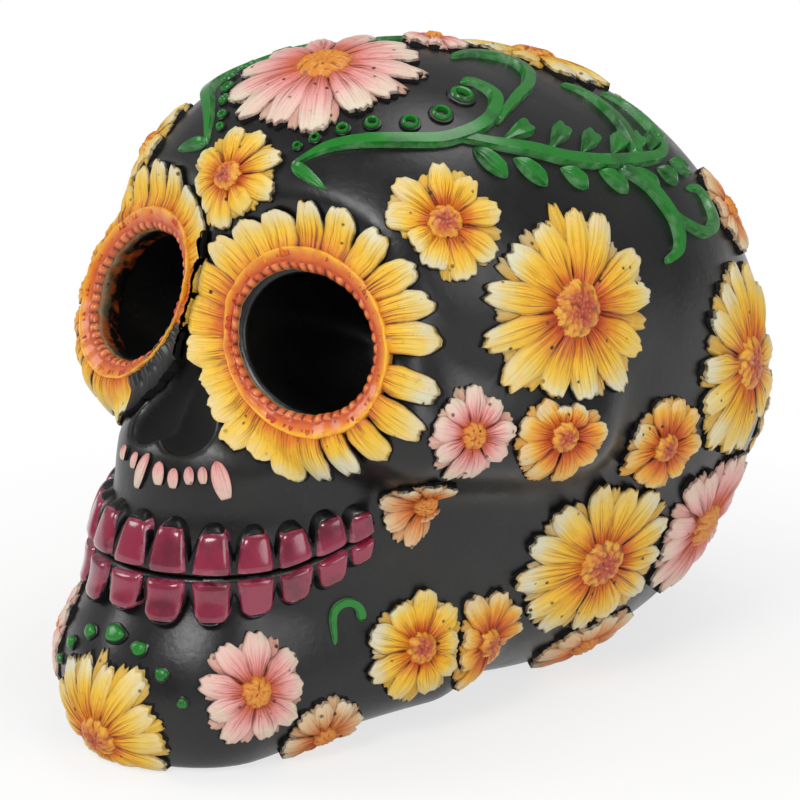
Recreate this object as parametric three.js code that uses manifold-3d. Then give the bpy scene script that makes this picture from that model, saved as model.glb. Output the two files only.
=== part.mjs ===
// Sugar skull: a painted skull ornament with flowers, vines and teeth in high relief.
// The skull faces -Y, its left side is +X, and it stands on its flat underside at Z = 0.
import * as THREE from 'three';
import { mergeVertices } from 'three/addons/utils/BufferGeometryUtils.js';
import Module from 'manifold-3d';

const wasm = await Module();
wasm.setup();

// Overall size, in millimetres
const SKULL_WIDTH = 112;
const SKULL_LENGTH = 160;
const SKULL_HEIGHT = 120;

// Soft joins between the rounded masses of the skull
const BROAD_BLEND = 14;
const MIDDLE_BLEND = 10;
const CLOSE_BLEND = 7;

// Eye sockets: the opening, the flat-faced surround that carries the rim, and the cup behind it
const EYE_TURN_DEGREES = 15;
const EYE_TILT_DEGREES = 20;
const EYE_LEAN_DEGREES = 9;
const SOCKET_WIDTH = 26.2;
const SOCKET_HEIGHT = 24;
const SOCKET_DEPTH = 26;
const SOCKET_SETBACK = 5;
const SURROUND_RADIUS = 18.5;
const SURROUND_DEPTH = 14;
const SURROUND_ROUNDING = 4;
const RECESS_RADIUS = 22;
const RECESS_DEPTH = 20;
const RECESS_BLEND = 6;

// Nose opening: two slanted channels that meet under the brow
const NOSTRIL_RADIUS = 4.6;
const NOSE_TOP_RADIUS = 2.5;

// Cheekbone and jaw bars
const CHEEKBONE_RADIUS = 8;
const CHEEKBONE_TAIL_RADIUS = 6;
const JAW_RADIUS = 12;
const JAW_ANGLE_RADIUS = 10.5;

// Teeth
const BITE_RISE = 6.5;
const BITE_GAP = 0.8;
const UPPER_TOOTH_HEIGHT = 8.4;
const LOWER_TOOTH_HEIGHT = 7.6;
const TOOTH_RELIEF = 2.2;
const TOOTH_GROOVE_RELIEF = 0.9;
const TEETH_PER_SIDE = 7;
const LAST_TOOTH_DEGREES = 96;

// Flowers
const LARGE_FLOWER_RADIUS = 17.5;
const SMALL_FLOWER_RADIUS = 10.5;
const LARGE_PETALS = 16;
const SMALL_PETALS = 10;
const PETAL_THICKNESS = 1.7;
const BUTTON_RELIEF = 2.6;
const EYE_FLOWER_RADIUS = 24.2;
const EYE_PETALS = 18;
const EYE_PETAL_THICKNESS = 2;
const EYE_PETAL_FALL = 7;
const EYE_FLOWER_NOSE_CUT = 2.2;

// Beaded rim round each eye socket
const RIM_WIDTH = 3;
const RIM_RELIEF = 2.4;
const RIM_GROOVE_RELIEF = 1.7;
const RIM_BEADS = 18;

// Vine
const STEM_WIDTH = 3.2;
const STEM_RELIEF = 1.7;
const LEAF_WIDTH = 5;
const TENDRIL_HOOK_RADIUS = 3;
const TENDRIL_STEM_LENGTH = 4.5;
const TENDRIL_BEARING = 29;
const TENDRIL_TILT = -30;

// Fits
const SEAT_GAP = 0.4;
const SIDE_GAP = 0.4;
const EYE_SEAT_GAP = 0.7;
const BASE_CLEARANCE = 0.8;
const LANDING_HEIGHT = 28;
const STRAND_LANDING_HEIGHT = 10;

// How finely the forms are worked
const BODY_DETAIL = 11;
const SOCKET_FACETS = 18;
const NOSTRIL_FACETS = 10;
const LIMIT_STEPS = 24;
const SURFACE_TOLERANCE = 0.004;
const PROBE = 0.2;
const MARCH_STEPS = 160;
const MARCH_CARE_SHARE = 0.8;

// The masses of the skull as shares of its width, length and height:
// where the middle of each one lies, then its three radii
const CRANIUM_SHARES = [0, 0.075, 0.525, 0.455, 0.356, 0.404];
const FOREHEAD_SHARES = [0, -0.075, 0.65, 0.41, 0.25, 0.325];
const BACK_OF_HEAD_SHARES = [0, 0.194, 0.4, 0.41, 0.281, 0.317];
const LOWER_WALL_SHARES = [0, 0.0875, 0.2, 0.357, 0.3125, 0.233];
const FACE_SHARES = [0, -0.222, 0.5, 0.235, 0.125, 0.225];
const UPPER_JAW_SHARES = [0, -0.269, 0.417, 0.188, 0.144, 0.133];
const MOUTH_SHARES = [0, -0.282, 0.3, 0.209, 0.152, 0.117];
const LOWER_GUM_SHARES = [0, -0.2875, 0.2, 0.208, 0.135, 0.117];
const CHIN_SHARES = [0, -0.365, 0.1, 0.17, 0.128, 0.15];
const CHEEK_WALL_SHARES = [0, -0.131, 0.283, 0.295, 0.206, 0.25];

// The bars of the skull: where each one starts and ends
const CHEEKBONE_SHARES = [0.321, -0.225, 0.5, 0.411, -0.0375, 0.467];
const JAW_BAR_SHARES = [0.107, -0.3625, 0.1, 0.214, -0.15, 0.117];

// The middle of the left eye's opening, and both ends of the left nostril's channel
const EYE_SHARES = [0.1884, -0.2931, 0.6317];
const NOSE_TOP_SHARES = [0, -0.3313, 0.6333];
const NOSE_FLOOR_SHARES = [0.0375, -0.3844, 0.5];

// The middle of the head, from which flowers and vines are aimed. A bearing and a tilt keep
// pointing at the same place on the skull when one of its proportions changes
const HEART_SHARES = [0, 0.03, 0.483];
const BODY_HEART_SHARES = [0, -0.02, 0.4];
const AIM_SHARES = [1.0714, 0.75, 1];

// Flowers: bearing round the head from the face, tilt above the level, size as a share of its
// class, and, on a flower cut short by the edge above it, how far it reaches up
const FLOWERS = {
  crown_flower: { class: 'large', bearing: 0, tilt: 66, sizeShare: 1.04, paint: 'pink' },
  forehead_flower: { class: 'small', bearing: 0, tilt: 41, sizeShare: 0.95, paint: 'yellow' },
  chin_flower: { class: 'large', bearing: 0, tilt: -32, sizeShare: 0.8, paint: 'yellow' },
  top_flower: { class: 'small', bearing: 180, tilt: 88, sizeShare: 0.6, paint: 'pink' },
  top_rear_flower: { class: 'large', bearing: 180, tilt: 60, sizeShare: 0.92, paint: 'yellow' },
  back_top_flower: { class: 'small', bearing: 180, tilt: 34, sizeShare: 0.9, paint: 'peach' },
  back_flower: { class: 'large', bearing: 180, tilt: 3, sizeShare: 0.92, paint: 'yellow' },
  back_low_flower: { class: 'small', bearing: 180, tilt: -26, sizeShare: 1, paint: 'pink' },
};
const SIDE_FLOWERS = {
  temple_flower: { class: 'small', bearing: 47, tilt: 38, sizeShare: 1.05, paint: 'yellow' },
  side_flower: { class: 'large', bearing: 74, tilt: 23, sizeShare: 1.05, paint: 'yellow' },
  pink_temple_flower: { class: 'small', bearing: 51, tilt: 3, sizeShare: 0.82, paint: 'pink' },
  ear_flower: { class: 'small', bearing: 69, tilt: 0, sizeShare: 0.95, paint: 'orange' },
  rear_ear_flower: { class: 'small', bearing: 100, tilt: -10, sizeShare: 0.95, paint: 'orange' },
  low_side_flower: { class: 'large', bearing: 91, tilt: -36, sizeShare: 0.98, paint: 'yellow' },
  rear_side_flower: { class: 'large', bearing: 126, tilt: 0, sizeShare: 1.04, paint: 'yellow' },
  upper_rear_flower: { class: 'small', bearing: 144, tilt: 23, sizeShare: 0.85, paint: 'peach' },
  low_rear_flower: { class: 'large', bearing: 125, tilt: -31, sizeShare: 0.9, paint: 'pink' },
  base_flower: { class: 'small', bearing: 104, tilt: -57, sizeShare: 1, paint: 'peach' },
  under_cheek_flower: {
    class: 'small', bearing: 43, tilt: -13, sizeShare: 0.8, paint: 'peach', upShare: 0.3,
  },
  jaw_angle_flower: { class: 'small', bearing: 42, tilt: -39, sizeShare: 1, paint: 'yellow' },
  back_side_flower: { class: 'small', bearing: 153, tilt: -15, sizeShare: 0.9, paint: 'orange' },
  neck_flower: { class: 'small', bearing: 58, tilt: -46, sizeShare: 0.95, paint: 'orange' },
  jaw_flower: { class: 'small', bearing: 19, tilt: -30, sizeShare: 0.95, paint: 'pink' },
  jaw_edge_flower: { class: 'small', bearing: 25, tilt: -42, sizeShare: 0.8, paint: 'peach' },
};

// Shape of a flower, its rim and the nostrils, as shares of their own radius or width
const BUTTON_SHARE = 0.3;
const BUTTON_TOP_SHARE = 0.55;
const MIDDLE_RING_SHARE = 0.6;
const TIP_RELIEF_SHARE = 0.75;
const RIM_BEVEL_SHARE = 0.2;
const NOSTRIL_END_SHARE = 0.55;

// Corners of one petal: how far round its pitch, and how far out. The last is the notch
const PETAL_CORNER_SHARES = [[-0.27, 1], [0.27, 1], [0.5, 0.8]];

// Shape of a tooth: its raised face along the row, its bevel, and the height of the last one
const TOOTH_FACE_SHARES = [0.2, 0.8];
const TOOTH_BEVEL_SHARE = 0.2;
const BACK_TOOTH_SHARE = 0.6;

// Vine strands of the left side: bearing and tilt of each point, widths as shares of the stem's
const VINE_STRANDS = [
  {
    route: [[13, 45], [20, 49], [28, 51], [38, 52], [48, 53], [58, 56], [66, 60], [72, 65],
      [67, 69], [60, 69]],
    widthShares: [0.5, 1, 0.6],
  },
  { route: [[15, 46], [17, 43], [22, 42]], widthShares: [0.7, 0.8, 0.3] },
  {
    route: [[66, 58], [72, 61], [84, 65], [101, 68], [124, 71], [138, 75], [120, 81], [70, 80]],
    widthShares: [0.6, 1, 0.9, 0.4],
  },
  {
    route: [[52, 54], [63, 53], [74, 52], [86, 50], [100, 48], [116, 45], [128, 42], [138, 42]],
    widthShares: [0.8, 1.1, 0.8],
  },
  { route: [[134, 64], [136, 60], [133, 56], [127, 51], [118, 45]], widthShares: [0.5, 1, 1] },
  { route: [[146, 55], [146, 51], [142, 47], [136, 42]], widthShares: [0.5, 1, 1] },
  { route: [[106, 46], [112, 41], [114, 36], [114, 31], [111, 27], [105, 26]], widthShares: [0.8, 1, 0.5] },
  {
    route: [[114, 35], [118, 30], [124, 26], [131, 26], [134, 31], [129, 34]],
    widthShares: [0.6, 0.8, 0.4],
  },
];
const VINE_LEAVES = [
  { route: [[76, 51], [74, 56]] },
  { route: [[91, 49], [90, 54]] },
  { route: [[104, 47], [103, 52]] },
  { route: [[117, 45], [117, 41]] },
  { route: [[66, 53], [61, 49]] },
  { route: [[79, 51], [72, 47]] },
  { route: [[92, 49], [86, 45]] },
  { route: [[103, 46], [99, 42]] },
  { route: [[128, 42], [132, 37]] },
];
const LEAF_WIDTH_SHARES = [0.5, 1, 0.2];
const STRAND_STEPS_PER_POINT = 1.5;
const TENDRIL_WIDTH_SHARES = [0.4, 0.8, 0.5];
const TENDRIL_TURNS_DEGREES = [180, 135, 90, 45, 0, -30];

// Painted colours: base colour, roughness and metalness
const PAINTS = {
  black: [0x2b2b2c, 0.42, 0],
  yellow: [0xe9ae2c, 0.5, 0],
  orange: [0xe08a2b, 0.5, 0],
  pink: [0xe8a79a, 0.5, 0],
  peach: [0xe6b07c, 0.5, 0],
  rope: [0xd9792b, 0.35, 0],
  green: [0x1e8a1e, 0.35, 0],
  burgundy: [0x8f1f42, 0.25, 0],
};

const EYE_TURN = THREE.MathUtils.degToRad(EYE_TURN_DEGREES);
const EYE_LEAN = Math.tan(THREE.MathUtils.degToRad(EYE_LEAN_DEGREES));
const UP = new THREE.Vector3(0, 0, 1);

// Shares to places and sizes

function placeFromShares(shares, first = 0) {
  const [x, y, z] = shares.slice(first, first + 3);
  return new THREE.Vector3(x * SKULL_WIDTH, y * SKULL_LENGTH, z * SKULL_HEIGHT);
}

const HEART = placeFromShares(HEART_SHARES);
const BODY_HEART = placeFromShares(BODY_HEART_SHARES);
const AIM_STRETCH = placeFromShares(AIM_SHARES);
const MOUTH = placeFromShares(MOUTH_SHARES);
const REACH = SKULL_LENGTH;
const EYE_CENTRE = placeFromShares(EYE_SHARES);
const EYE_ACROSS = new THREE.Vector3(Math.cos(EYE_TURN), Math.sin(EYE_TURN), 0);
const EYE_OUT = aim(EYE_TURN_DEGREES, EYE_TILT_DEGREES);
const EYE_RISE = EYE_OUT.clone().cross(EYE_ACROSS);
const EYE_UP = EYE_RISE.clone().addScaledVector(EYE_ACROSS, -EYE_LEAN);

// The skull's skin as a distance: negative inside, positive outside

function massDistance(x, y, z, centre, radii) {
  const [u, v, w] = [(x - centre.x) / radii.x, (y - centre.y) / radii.y, (z - centre.z) / radii.z];
  const near = Math.hypot(u, v, w);
  const slope = Math.hypot(u / radii.x, v / radii.y, w / radii.z);
  return slope > 0 ? near * (near - 1) / slope : -Math.min(radii.x, radii.y, radii.z);
}

function barDistance(x, y, z, start, end, startRadius, endRadius) {
  const along = end.clone().sub(start);
  const offset = new THREE.Vector3(x, y, z).sub(start);
  const share = THREE.MathUtils.clamp(offset.dot(along) / along.lengthSq(), 0, 1);
  return offset.addScaledVector(along, -share).length() - THREE.MathUtils.lerp(startRadius, endRadius, share);
}

function blend(first, second, width) {
  const overlap = Math.max(width - Math.abs(first - second), 0) / width;
  return Math.min(first, second) - overlap * overlap * width / 4;
}

function mass(shares, width) {
  return { centre: placeFromShares(shares), radii: placeFromShares(shares, 3), width };
}

function bar(shares, startRadius, endRadius, width) {
  return { start: placeFromShares(shares), end: placeFromShares(shares, 3), startRadius, endRadius, width };
}

const SKULL_MASSES = [
  mass(CRANIUM_SHARES, BROAD_BLEND),
  mass(FOREHEAD_SHARES, BROAD_BLEND),
  mass(BACK_OF_HEAD_SHARES, BROAD_BLEND),
  mass(LOWER_WALL_SHARES, BROAD_BLEND),
  mass(FACE_SHARES, BROAD_BLEND),
  mass(UPPER_JAW_SHARES, CLOSE_BLEND),
  mass(MOUTH_SHARES, CLOSE_BLEND),
  mass(LOWER_GUM_SHARES, CLOSE_BLEND),
  mass(CHIN_SHARES, MIDDLE_BLEND),
  mass(CHEEK_WALL_SHARES, MIDDLE_BLEND),
];
const SKULL_BARS = [
  bar(CHEEKBONE_SHARES, CHEEKBONE_RADIUS, CHEEKBONE_TAIL_RADIUS, MIDDLE_BLEND),
  bar(JAW_BAR_SHARES, JAW_RADIUS, JAW_ANGLE_RADIUS, MIDDLE_BLEND),
];

// A round disc with softened edges, from one depth behind the eye's plane to another
function discDistance(radius, depth, discRadius, near, far) {
  const across = radius - discRadius + SURROUND_ROUNDING;
  const through = Math.abs(depth - (near + far) / 2) - (far - near) / 2 + SURROUND_ROUNDING;
  const outside = Math.hypot(Math.max(across, 0), Math.max(through, 0));
  return outside + Math.min(Math.max(across, through), 0) - SURROUND_ROUNDING;
}

// The surround stands up to the eye's plane, and nothing round the eye stands in front of it
function withSurround(distance, x, y, z) {
  const offset = new THREE.Vector3(x, y, z).sub(EYE_CENTRE);
  const depth = -offset.dot(EYE_OUT);
  const rise = offset.dot(EYE_RISE);
  const radius = Math.hypot(offset.dot(EYE_ACROSS) + EYE_LEAN * rise, rise);
  const surround = discDistance(radius, depth, SURROUND_RADIUS, 0, SURROUND_DEPTH);
  const recess = discDistance(radius, depth, RECESS_RADIUS, -RECESS_DEPTH, 0);
  return -blend(-blend(distance, surround, CLOSE_BLEND), recess, RECESS_BLEND);
}

function skinDistance(point) {
  const [x, y, z] = [Math.abs(point.x), point.y, point.z];
  let distance = Infinity;
  for (const { centre, radii, width } of SKULL_MASSES) {
    const next = massDistance(x, y, z, centre, radii);
    distance = distance === Infinity ? next : blend(distance, next, width);
  }
  for (const { start, end, startRadius, endRadius, width } of SKULL_BARS) {
    distance = blend(distance, barDistance(x, y, z, start, end, startRadius, endRadius), width);
  }
  return withSurround(distance, x, y, z);
}

function skinNormal(point) {
  const slope = (axis) => {
    const step = new THREE.Vector3().setComponent(axis, PROBE);
    return skinDistance(point.clone().add(step)) - skinDistance(point.clone().sub(step));
  };
  return new THREE.Vector3(slope(0), slope(1), slope(2)).normalize();
}

// Walks from a start outside the skull along a direction, down to a height over the skin
function landOnSkin(start, direction, height) {
  const point = start.clone();
  for (let step = 0; step < MARCH_STEPS; step += 1) {
    const distance = skinDistance(point) - height;
    if (distance < SURFACE_TOLERANCE) {
      return point;
    }
    point.addScaledVector(direction, distance * MARCH_CARE_SHARE);
    if (point.distanceTo(start) > 2 * REACH) {
      return null;
    }
  }
  return point;
}

function aim(bearingDegrees, tiltDegrees) {
  const bearing = THREE.MathUtils.degToRad(bearingDegrees);
  const tilt = THREE.MathUtils.degToRad(tiltDegrees);
  return new THREE.Vector3(
    Math.sin(bearing) * Math.cos(tilt), -Math.cos(bearing) * Math.cos(tilt), Math.sin(tilt),
  );
}

function skinPointAt(bearing, tilt, height) {
  const direction = aim(bearing, tilt).multiply(AIM_STRETCH).normalize();
  const start = HEART.clone().addScaledVector(direction, REACH);
  return landOnSkin(start, direction.negate(), height);
}

// Closed meshes and joins

function geometryFrom(points, faces) {
  const geometry = new THREE.BufferGeometry();
  const places = points.flatMap((point) => point.toArray());
  geometry.setAttribute('position', new THREE.Float32BufferAttribute(places, 3));
  geometry.setIndex(faces.flat());
  return geometry;
}

function toSolid(geometry) {
  const bare = geometry.clone();
  bare.deleteAttribute('normal');
  bare.deleteAttribute('uv');
  const merged = mergeVertices(bare);
  return new wasm.Manifold(new wasm.Mesh({
    numProp: 3,
    vertProperties: new Float32Array(merged.attributes.position.array),
    triVerts: new Uint32Array(merged.index.array),
  }));
}

function toGeometry(solid) {
  const { numProp, vertProperties, triVerts } = solid.getMesh();
  const geometry = new THREE.BufferGeometry();
  const places = [];
  for (let at = 0; at < vertProperties.length; at += numProp) {
    places.push(vertProperties[at], vertProperties[at + 1], vertProperties[at + 2]);
  }
  geometry.setAttribute('position', new THREE.Float32BufferAttribute(places, 3));
  geometry.setIndex([...triVerts]);
  return geometry;
}

function mirrored(geometry) {
  const copy = geometry.clone();
  const places = copy.attributes.position;
  for (let at = 0; at < places.count; at += 1) {
    places.setX(at, -places.getX(at));
  }
  const order = [...copy.index.array];
  for (let at = 0; at < order.length; at += 3) {
    [order[at], order[at + 1]] = [order[at + 1], order[at]];
  }
  copy.setIndex(order);
  return copy;
}

// Joins rings of points into one closed skin; each ring has as many points as the next
function skinOfRings(rings, closedLoop) {
  const points = rings.flat();
  const count = rings[0].length;
  const faces = [];
  const last = closedLoop ? rings.length : rings.length - 1;
  for (let ring = 0; ring < last; ring += 1) {
    for (let at = 0; at < count; at += 1) {
      const next = (at + 1) % count;
      const [here, there] = [ring * count, ((ring + 1) % rings.length) * count];
      faces.push([here + at, here + next, there + next], [here + at, there + next, there + at]);
    }
  }
  return { points, faces, count };
}

function closedTube(rings) {
  const { points, faces, count } = skinOfRings(rings, false);
  const end = (rings.length - 1) * count;
  for (let at = 1; at < count - 1; at += 1) {
    faces.push([0, at + 1, at], [end, end + at, end + at + 1]);
  }
  return geometryFrom(points, faces);
}

// Skull

function skullShell() {
  const sphere = new THREE.IcosahedronGeometry(1, BODY_DETAIL);
  sphere.deleteAttribute('normal');
  sphere.deleteAttribute('uv');
  const shell = mergeVertices(sphere);
  const places = shell.attributes.position;
  for (let at = 0; at < places.count; at += 1) {
    const direction = new THREE.Vector3().fromBufferAttribute(places, at).normalize();
    const start = BODY_HEART.clone().addScaledVector(direction, REACH);
    const point = landOnSkin(start, direction.negate(), 0);
    places.setXYZ(at, point.x, point.y, point.z);
  }
  return shell;
}

function socketCutter() {
  const cup = new THREE.SphereGeometry(1, SOCKET_FACETS, SOCKET_FACETS / 2);
  const middle = EYE_CENTRE.clone().addScaledVector(EYE_OUT, -SOCKET_SETBACK);
  const placing = new THREE.Matrix4().makeBasis(EYE_ACROSS, EYE_OUT.clone().negate(), EYE_UP);
  cup.scale(SOCKET_WIDTH / 2, SOCKET_DEPTH, SOCKET_HEIGHT / 2);
  cup.applyMatrix4(placing.setPosition(middle));
  return cup;
}

function nostrilCutter() {
  const top = placeFromShares(NOSE_TOP_SHARES);
  const along = placeFromShares(NOSE_FLOOR_SHARES).sub(top);
  const profile = [
    new THREE.Vector2(0, -NOSE_TOP_RADIUS),
    new THREE.Vector2(NOSE_TOP_RADIUS, 0),
    new THREE.Vector2(NOSTRIL_RADIUS, along.length()),
    new THREE.Vector2(NOSTRIL_RADIUS * NOSTRIL_END_SHARE, along.length() + NOSTRIL_RADIUS),
    new THREE.Vector2(0, along.length() + NOSTRIL_RADIUS),
  ];
  const channel = new THREE.LatheGeometry(profile, NOSTRIL_FACETS);
  channel.applyQuaternion(new THREE.Quaternion().setFromUnitVectors(
    new THREE.Vector3(0, 1, 0), along.clone().normalize(),
  ));
  channel.translate(top.x, top.y, top.z);
  return channel;
}

function groundCutter() {
  const block = new THREE.BoxGeometry(2 * SKULL_WIDTH, 2 * SKULL_LENGTH, SKULL_HEIGHT);
  block.translate(0, 0, -SKULL_HEIGHT / 2);
  return block;
}

function skullBody() {
  let solid = toSolid(skullShell()).subtract(toSolid(groundCutter()));
  for (const cutter of [socketCutter(), nostrilCutter()]) {
    solid = solid.subtract(toSolid(cutter)).subtract(toSolid(mirrored(cutter)));
  }
  return toGeometry(solid);
}

// Flowers

function flowerFrame(bearing, tilt) {
  const centre = skinPointAt(bearing, tilt, 0);
  const normal = skinNormal(centre);
  const guide = Math.abs(normal.z) > Math.abs(normal.y) ? new THREE.Vector3(0, 1, 0) : UP;
  const across = guide.clone().cross(normal).normalize();
  return { centre, normal, across, up: normal.clone().cross(across) };
}

function flowerPoint({ centre, normal, across, up }, radius, angle, height) {
  const start = centre.clone()
    .addScaledVector(across, radius * Math.cos(angle))
    .addScaledVector(up, radius * Math.sin(angle))
    .addScaledVector(normal, LANDING_HEIGHT);
  return landOnSkin(start, normal.clone().negate(), height);
}

function allFlowers() {
  const list = [];
  const add = (name, spec, mirror) => {
    const frame = flowerFrame(mirror ? -spec.bearing : spec.bearing, spec.tilt);
    const classRadius = spec.class === 'large' ? LARGE_FLOWER_RADIUS : SMALL_FLOWER_RADIUS;
    const petals = spec.class === 'large' ? LARGE_PETALS : SMALL_PETALS;
    list.push({ name, ...spec, ...frame, petals, radius: classRadius * spec.sizeShare });
  };
  for (const [name, spec] of Object.entries(FLOWERS)) {
    add(name, spec, false);
  }
  for (const [name, spec] of Object.entries(SIDE_FLOWERS)) {
    add(`${name}_left`, spec, false);
    add(`${name}_right`, spec, true);
  }
  return list;
}

// Flat limits that keep a flower off its neighbours, the eye flowers and the ground
function flowerLimits(flower, flowers) {
  const neighbours = flowers.filter((other) => other.name !== flower.name)
    .map(({ centre, radius }) => ({ centre, radius }));
  for (const side of [1, -1]) {
    const centre = new THREE.Vector3(side * EYE_CENTRE.x, EYE_CENTRE.y, EYE_CENTRE.z);
    neighbours.push({ centre, radius: EYE_FLOWER_RADIUS + EYE_SEAT_GAP + PETAL_THICKNESS / 2 });
  }
  const limits = [];
  for (const { centre, radius } of neighbours) {
    const toward = centre.clone().sub(flower.centre);
    const apart = toward.length();
    if (apart < radius + flower.radius + SIDE_GAP) {
      const share = (apart * apart + flower.radius ** 2 - radius ** 2) / (2 * apart);
      limits.push({ direction: toward.normalize(), most: share - SIDE_GAP });
    }
  }
  if (flower.upShare !== undefined) {
    limits.push({ direction: flower.up, most: flower.radius * flower.upShare });
  }
  return limits;
}

function allowedRadius(flower, limits, wanted, angle) {
  for (let step = LIMIT_STEPS; step > 0; step -= 1) {
    const radius = wanted * step / LIMIT_STEPS;
    const point = flowerPoint(flower, radius, angle, SEAT_GAP);
    const raised = flowerPoint(flower, radius, angle, SEAT_GAP + PETAL_THICKNESS);
    if (point === null || raised === null || Math.min(point.z, raised.z) < BASE_CLEARANCE) {
      continue;
    }
    const offset = point.clone().sub(flower.centre);
    if (limits.every(({ direction, most }) => offset.dot(direction) <= most)) {
      return radius;
    }
  }
  return wanted / LIMIT_STEPS;
}

// Corners of the petals, in turn round the flower
function petalCorners(flower, limits) {
  const pitch = 2 * Math.PI / flower.petals;
  const corners = [];
  for (let petal = 0; petal < flower.petals; petal += 1) {
    for (const [turn, reach] of PETAL_CORNER_SHARES) {
      const angle = (petal + turn) * pitch;
      corners.push({ angle, radius: allowedRadius(flower, limits, flower.radius * reach, angle) });
    }
  }
  return corners;
}

// Faces between a ring of points and the ring outside it, which may have more points
function stitch(inner, outer) {
  const faces = [];
  let [at, to] = [0, 0];
  while (at < inner.length || to < outer.length) {
    const [from, edge] = [inner[at % inner.length], outer[to % outer.length]];
    if (to * inner.length < (at + 1 / 2) * outer.length) {
      faces.push([from, edge, outer[(to + 1) % outer.length]]);
      to += 1;
    } else {
      faces.push([from, edge, inner[(at + 1) % inner.length]]);
      at += 1;
    }
  }
  return faces;
}

function fan(middle, ring) {
  return ring.map((corner, at) => [middle, corner, ring[(at + 1) % ring.length]]);
}

function turnedOver(faces) {
  return faces.map(([a, b, c]) => [a, c, b]);
}

// One flower: petals with squared tips round a domed button, lying on the skull's skin
function flowerGeometry(flower, flowers) {
  const corners = petalCorners(flower, flowerLimits(flower, flowers));
  const points = [];
  const addPoint = (radius, angle, height) => {
    points.push(flowerPoint(flower, radius, angle, height));
    return points.length - 1;
  };
  const addEdge = (height) => corners.map(({ angle, radius }) => addPoint(radius, angle, height));
  const addRing = (share, count, height) => Array.from({ length: count }, (_, at) => {
    const corner = corners[at * corners.length / count];
    return addPoint(corner.radius * share, 2 * Math.PI * at / count, height);
  });
  const low = addEdge(SEAT_GAP);
  const high = addEdge(SEAT_GAP + PETAL_THICKNESS * TIP_RELIEF_SHARE);
  const foot = addRing(BUTTON_SHARE, flower.petals, SEAT_GAP + PETAL_THICKNESS);
  const dome = addRing(BUTTON_SHARE * BUTTON_TOP_SHARE, flower.petals / 2, SEAT_GAP + BUTTON_RELIEF);
  const under = addRing(MIDDLE_RING_SHARE, flower.petals, SEAT_GAP);
  return geometryFrom(points, [
    ...stitch(high, low),
    ...stitch(foot, high),
    ...stitch(dome, foot),
    ...fan(addPoint(0, 0, SEAT_GAP + BUTTON_RELIEF), dome),
    ...turnedOver(stitch(under, low)),
    ...turnedOver(fan(addPoint(0, 0, SEAT_GAP), under)),
  ]);
}

// Eye flower and rim, in the plane of the eye

function eyePoint(radius, angle, height, fall) {
  const start = EYE_CENTRE.clone()
    .addScaledVector(EYE_ACROSS, radius * Math.cos(angle))
    .addScaledVector(EYE_UP, radius * Math.sin(angle));
  const above = start.clone().addScaledVector(EYE_OUT, LANDING_HEIGHT);
  const plate = start.addScaledVector(EYE_OUT, height - fall);
  const skin = landOnSkin(above, EYE_OUT.clone().negate(), height);
  if (skin === null || skin.clone().sub(plate).dot(EYE_OUT) < 0) {
    return plate;
  }
  return skin;
}

function petalFall(radius) {
  const inner = SOCKET_WIDTH / 2 + RIM_WIDTH;
  return EYE_PETAL_FALL * ((radius - inner) / (EYE_FLOWER_RADIUS - inner)) ** 2;
}

// How far a petal of the eye flower reaches: less towards the nose, and never over the middle
function eyePetalReach(angle, share) {
  const reach = share * (EYE_FLOWER_RADIUS - EYE_FLOWER_NOSE_CUT * Math.max(0, -Math.cos(angle)));
  const across = reach * (EYE_ACROSS.x * Math.cos(angle) + EYE_UP.x * Math.sin(angle));
  const least = SIDE_GAP - EYE_CENTRE.x;
  return across < least ? reach * least / across : reach;
}

function eyeFlowerGeometry() {
  const pitch = 2 * Math.PI / EYE_PETALS;
  const inner = SOCKET_WIDTH / 2 + RIM_WIDTH + SIDE_GAP;
  const top = EYE_SEAT_GAP + EYE_PETAL_THICKNESS;
  const tip = EYE_SEAT_GAP + EYE_PETAL_THICKNESS * TIP_RELIEF_SHARE;
  const rings = [];
  for (let petal = 0; petal < EYE_PETALS; petal += 1) {
    for (const [turn, share] of PETAL_CORNER_SHARES) {
      const angle = (petal + turn) * pitch;
      const edge = eyePetalReach(angle, share);
      const halfway = (inner + edge) / 2;
      rings.push([
        eyePoint(inner, angle, EYE_SEAT_GAP, 0),
        eyePoint(inner, angle, top, 0),
        eyePoint(halfway, angle, top, petalFall(halfway)),
        eyePoint(edge, angle, tip, petalFall(edge)),
        eyePoint(edge, angle, EYE_SEAT_GAP, petalFall(edge)),
        eyePoint(halfway, angle, EYE_SEAT_GAP, petalFall(halfway)),
      ]);
    }
  }
  const { points, faces } = skinOfRings(rings, true);
  return geometryFrom(points, faces);
}

function eyeRimGeometry() {
  const inner = SOCKET_WIDTH / 2 + SEAT_GAP;
  const outer = SOCKET_WIDTH / 2 + RIM_WIDTH;
  const bevel = RIM_WIDTH * RIM_BEVEL_SHARE;
  const rings = [];
  const stations = 2 * RIM_BEADS;
  for (let station = 0; station < stations; station += 1) {
    const angle = 2 * Math.PI * station / stations;
    const crest = station % 2 === 0 ? RIM_RELIEF : RIM_GROOVE_RELIEF;
    rings.push([
      eyePoint(inner, angle, SEAT_GAP, 0),
      eyePoint(inner + bevel, angle, SEAT_GAP + crest, 0),
      eyePoint(outer - bevel, angle, SEAT_GAP + crest, 0),
      eyePoint(outer, angle, SEAT_GAP, 0),
    ]);
  }
  const { points, faces } = skinOfRings(rings, true);
  return geometryFrom(points, faces);
}

// Teeth: one row on its gum strip, each tooth a raised pad between grooves

function mouthPoint(angle, level, height) {
  const direction = new THREE.Vector3(Math.sin(angle), -Math.cos(angle), 0);
  const start = new THREE.Vector3(0, MOUTH.y, level).addScaledVector(direction, REACH / 2);
  return landOnSkin(start, direction.negate(), height);
}

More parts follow.
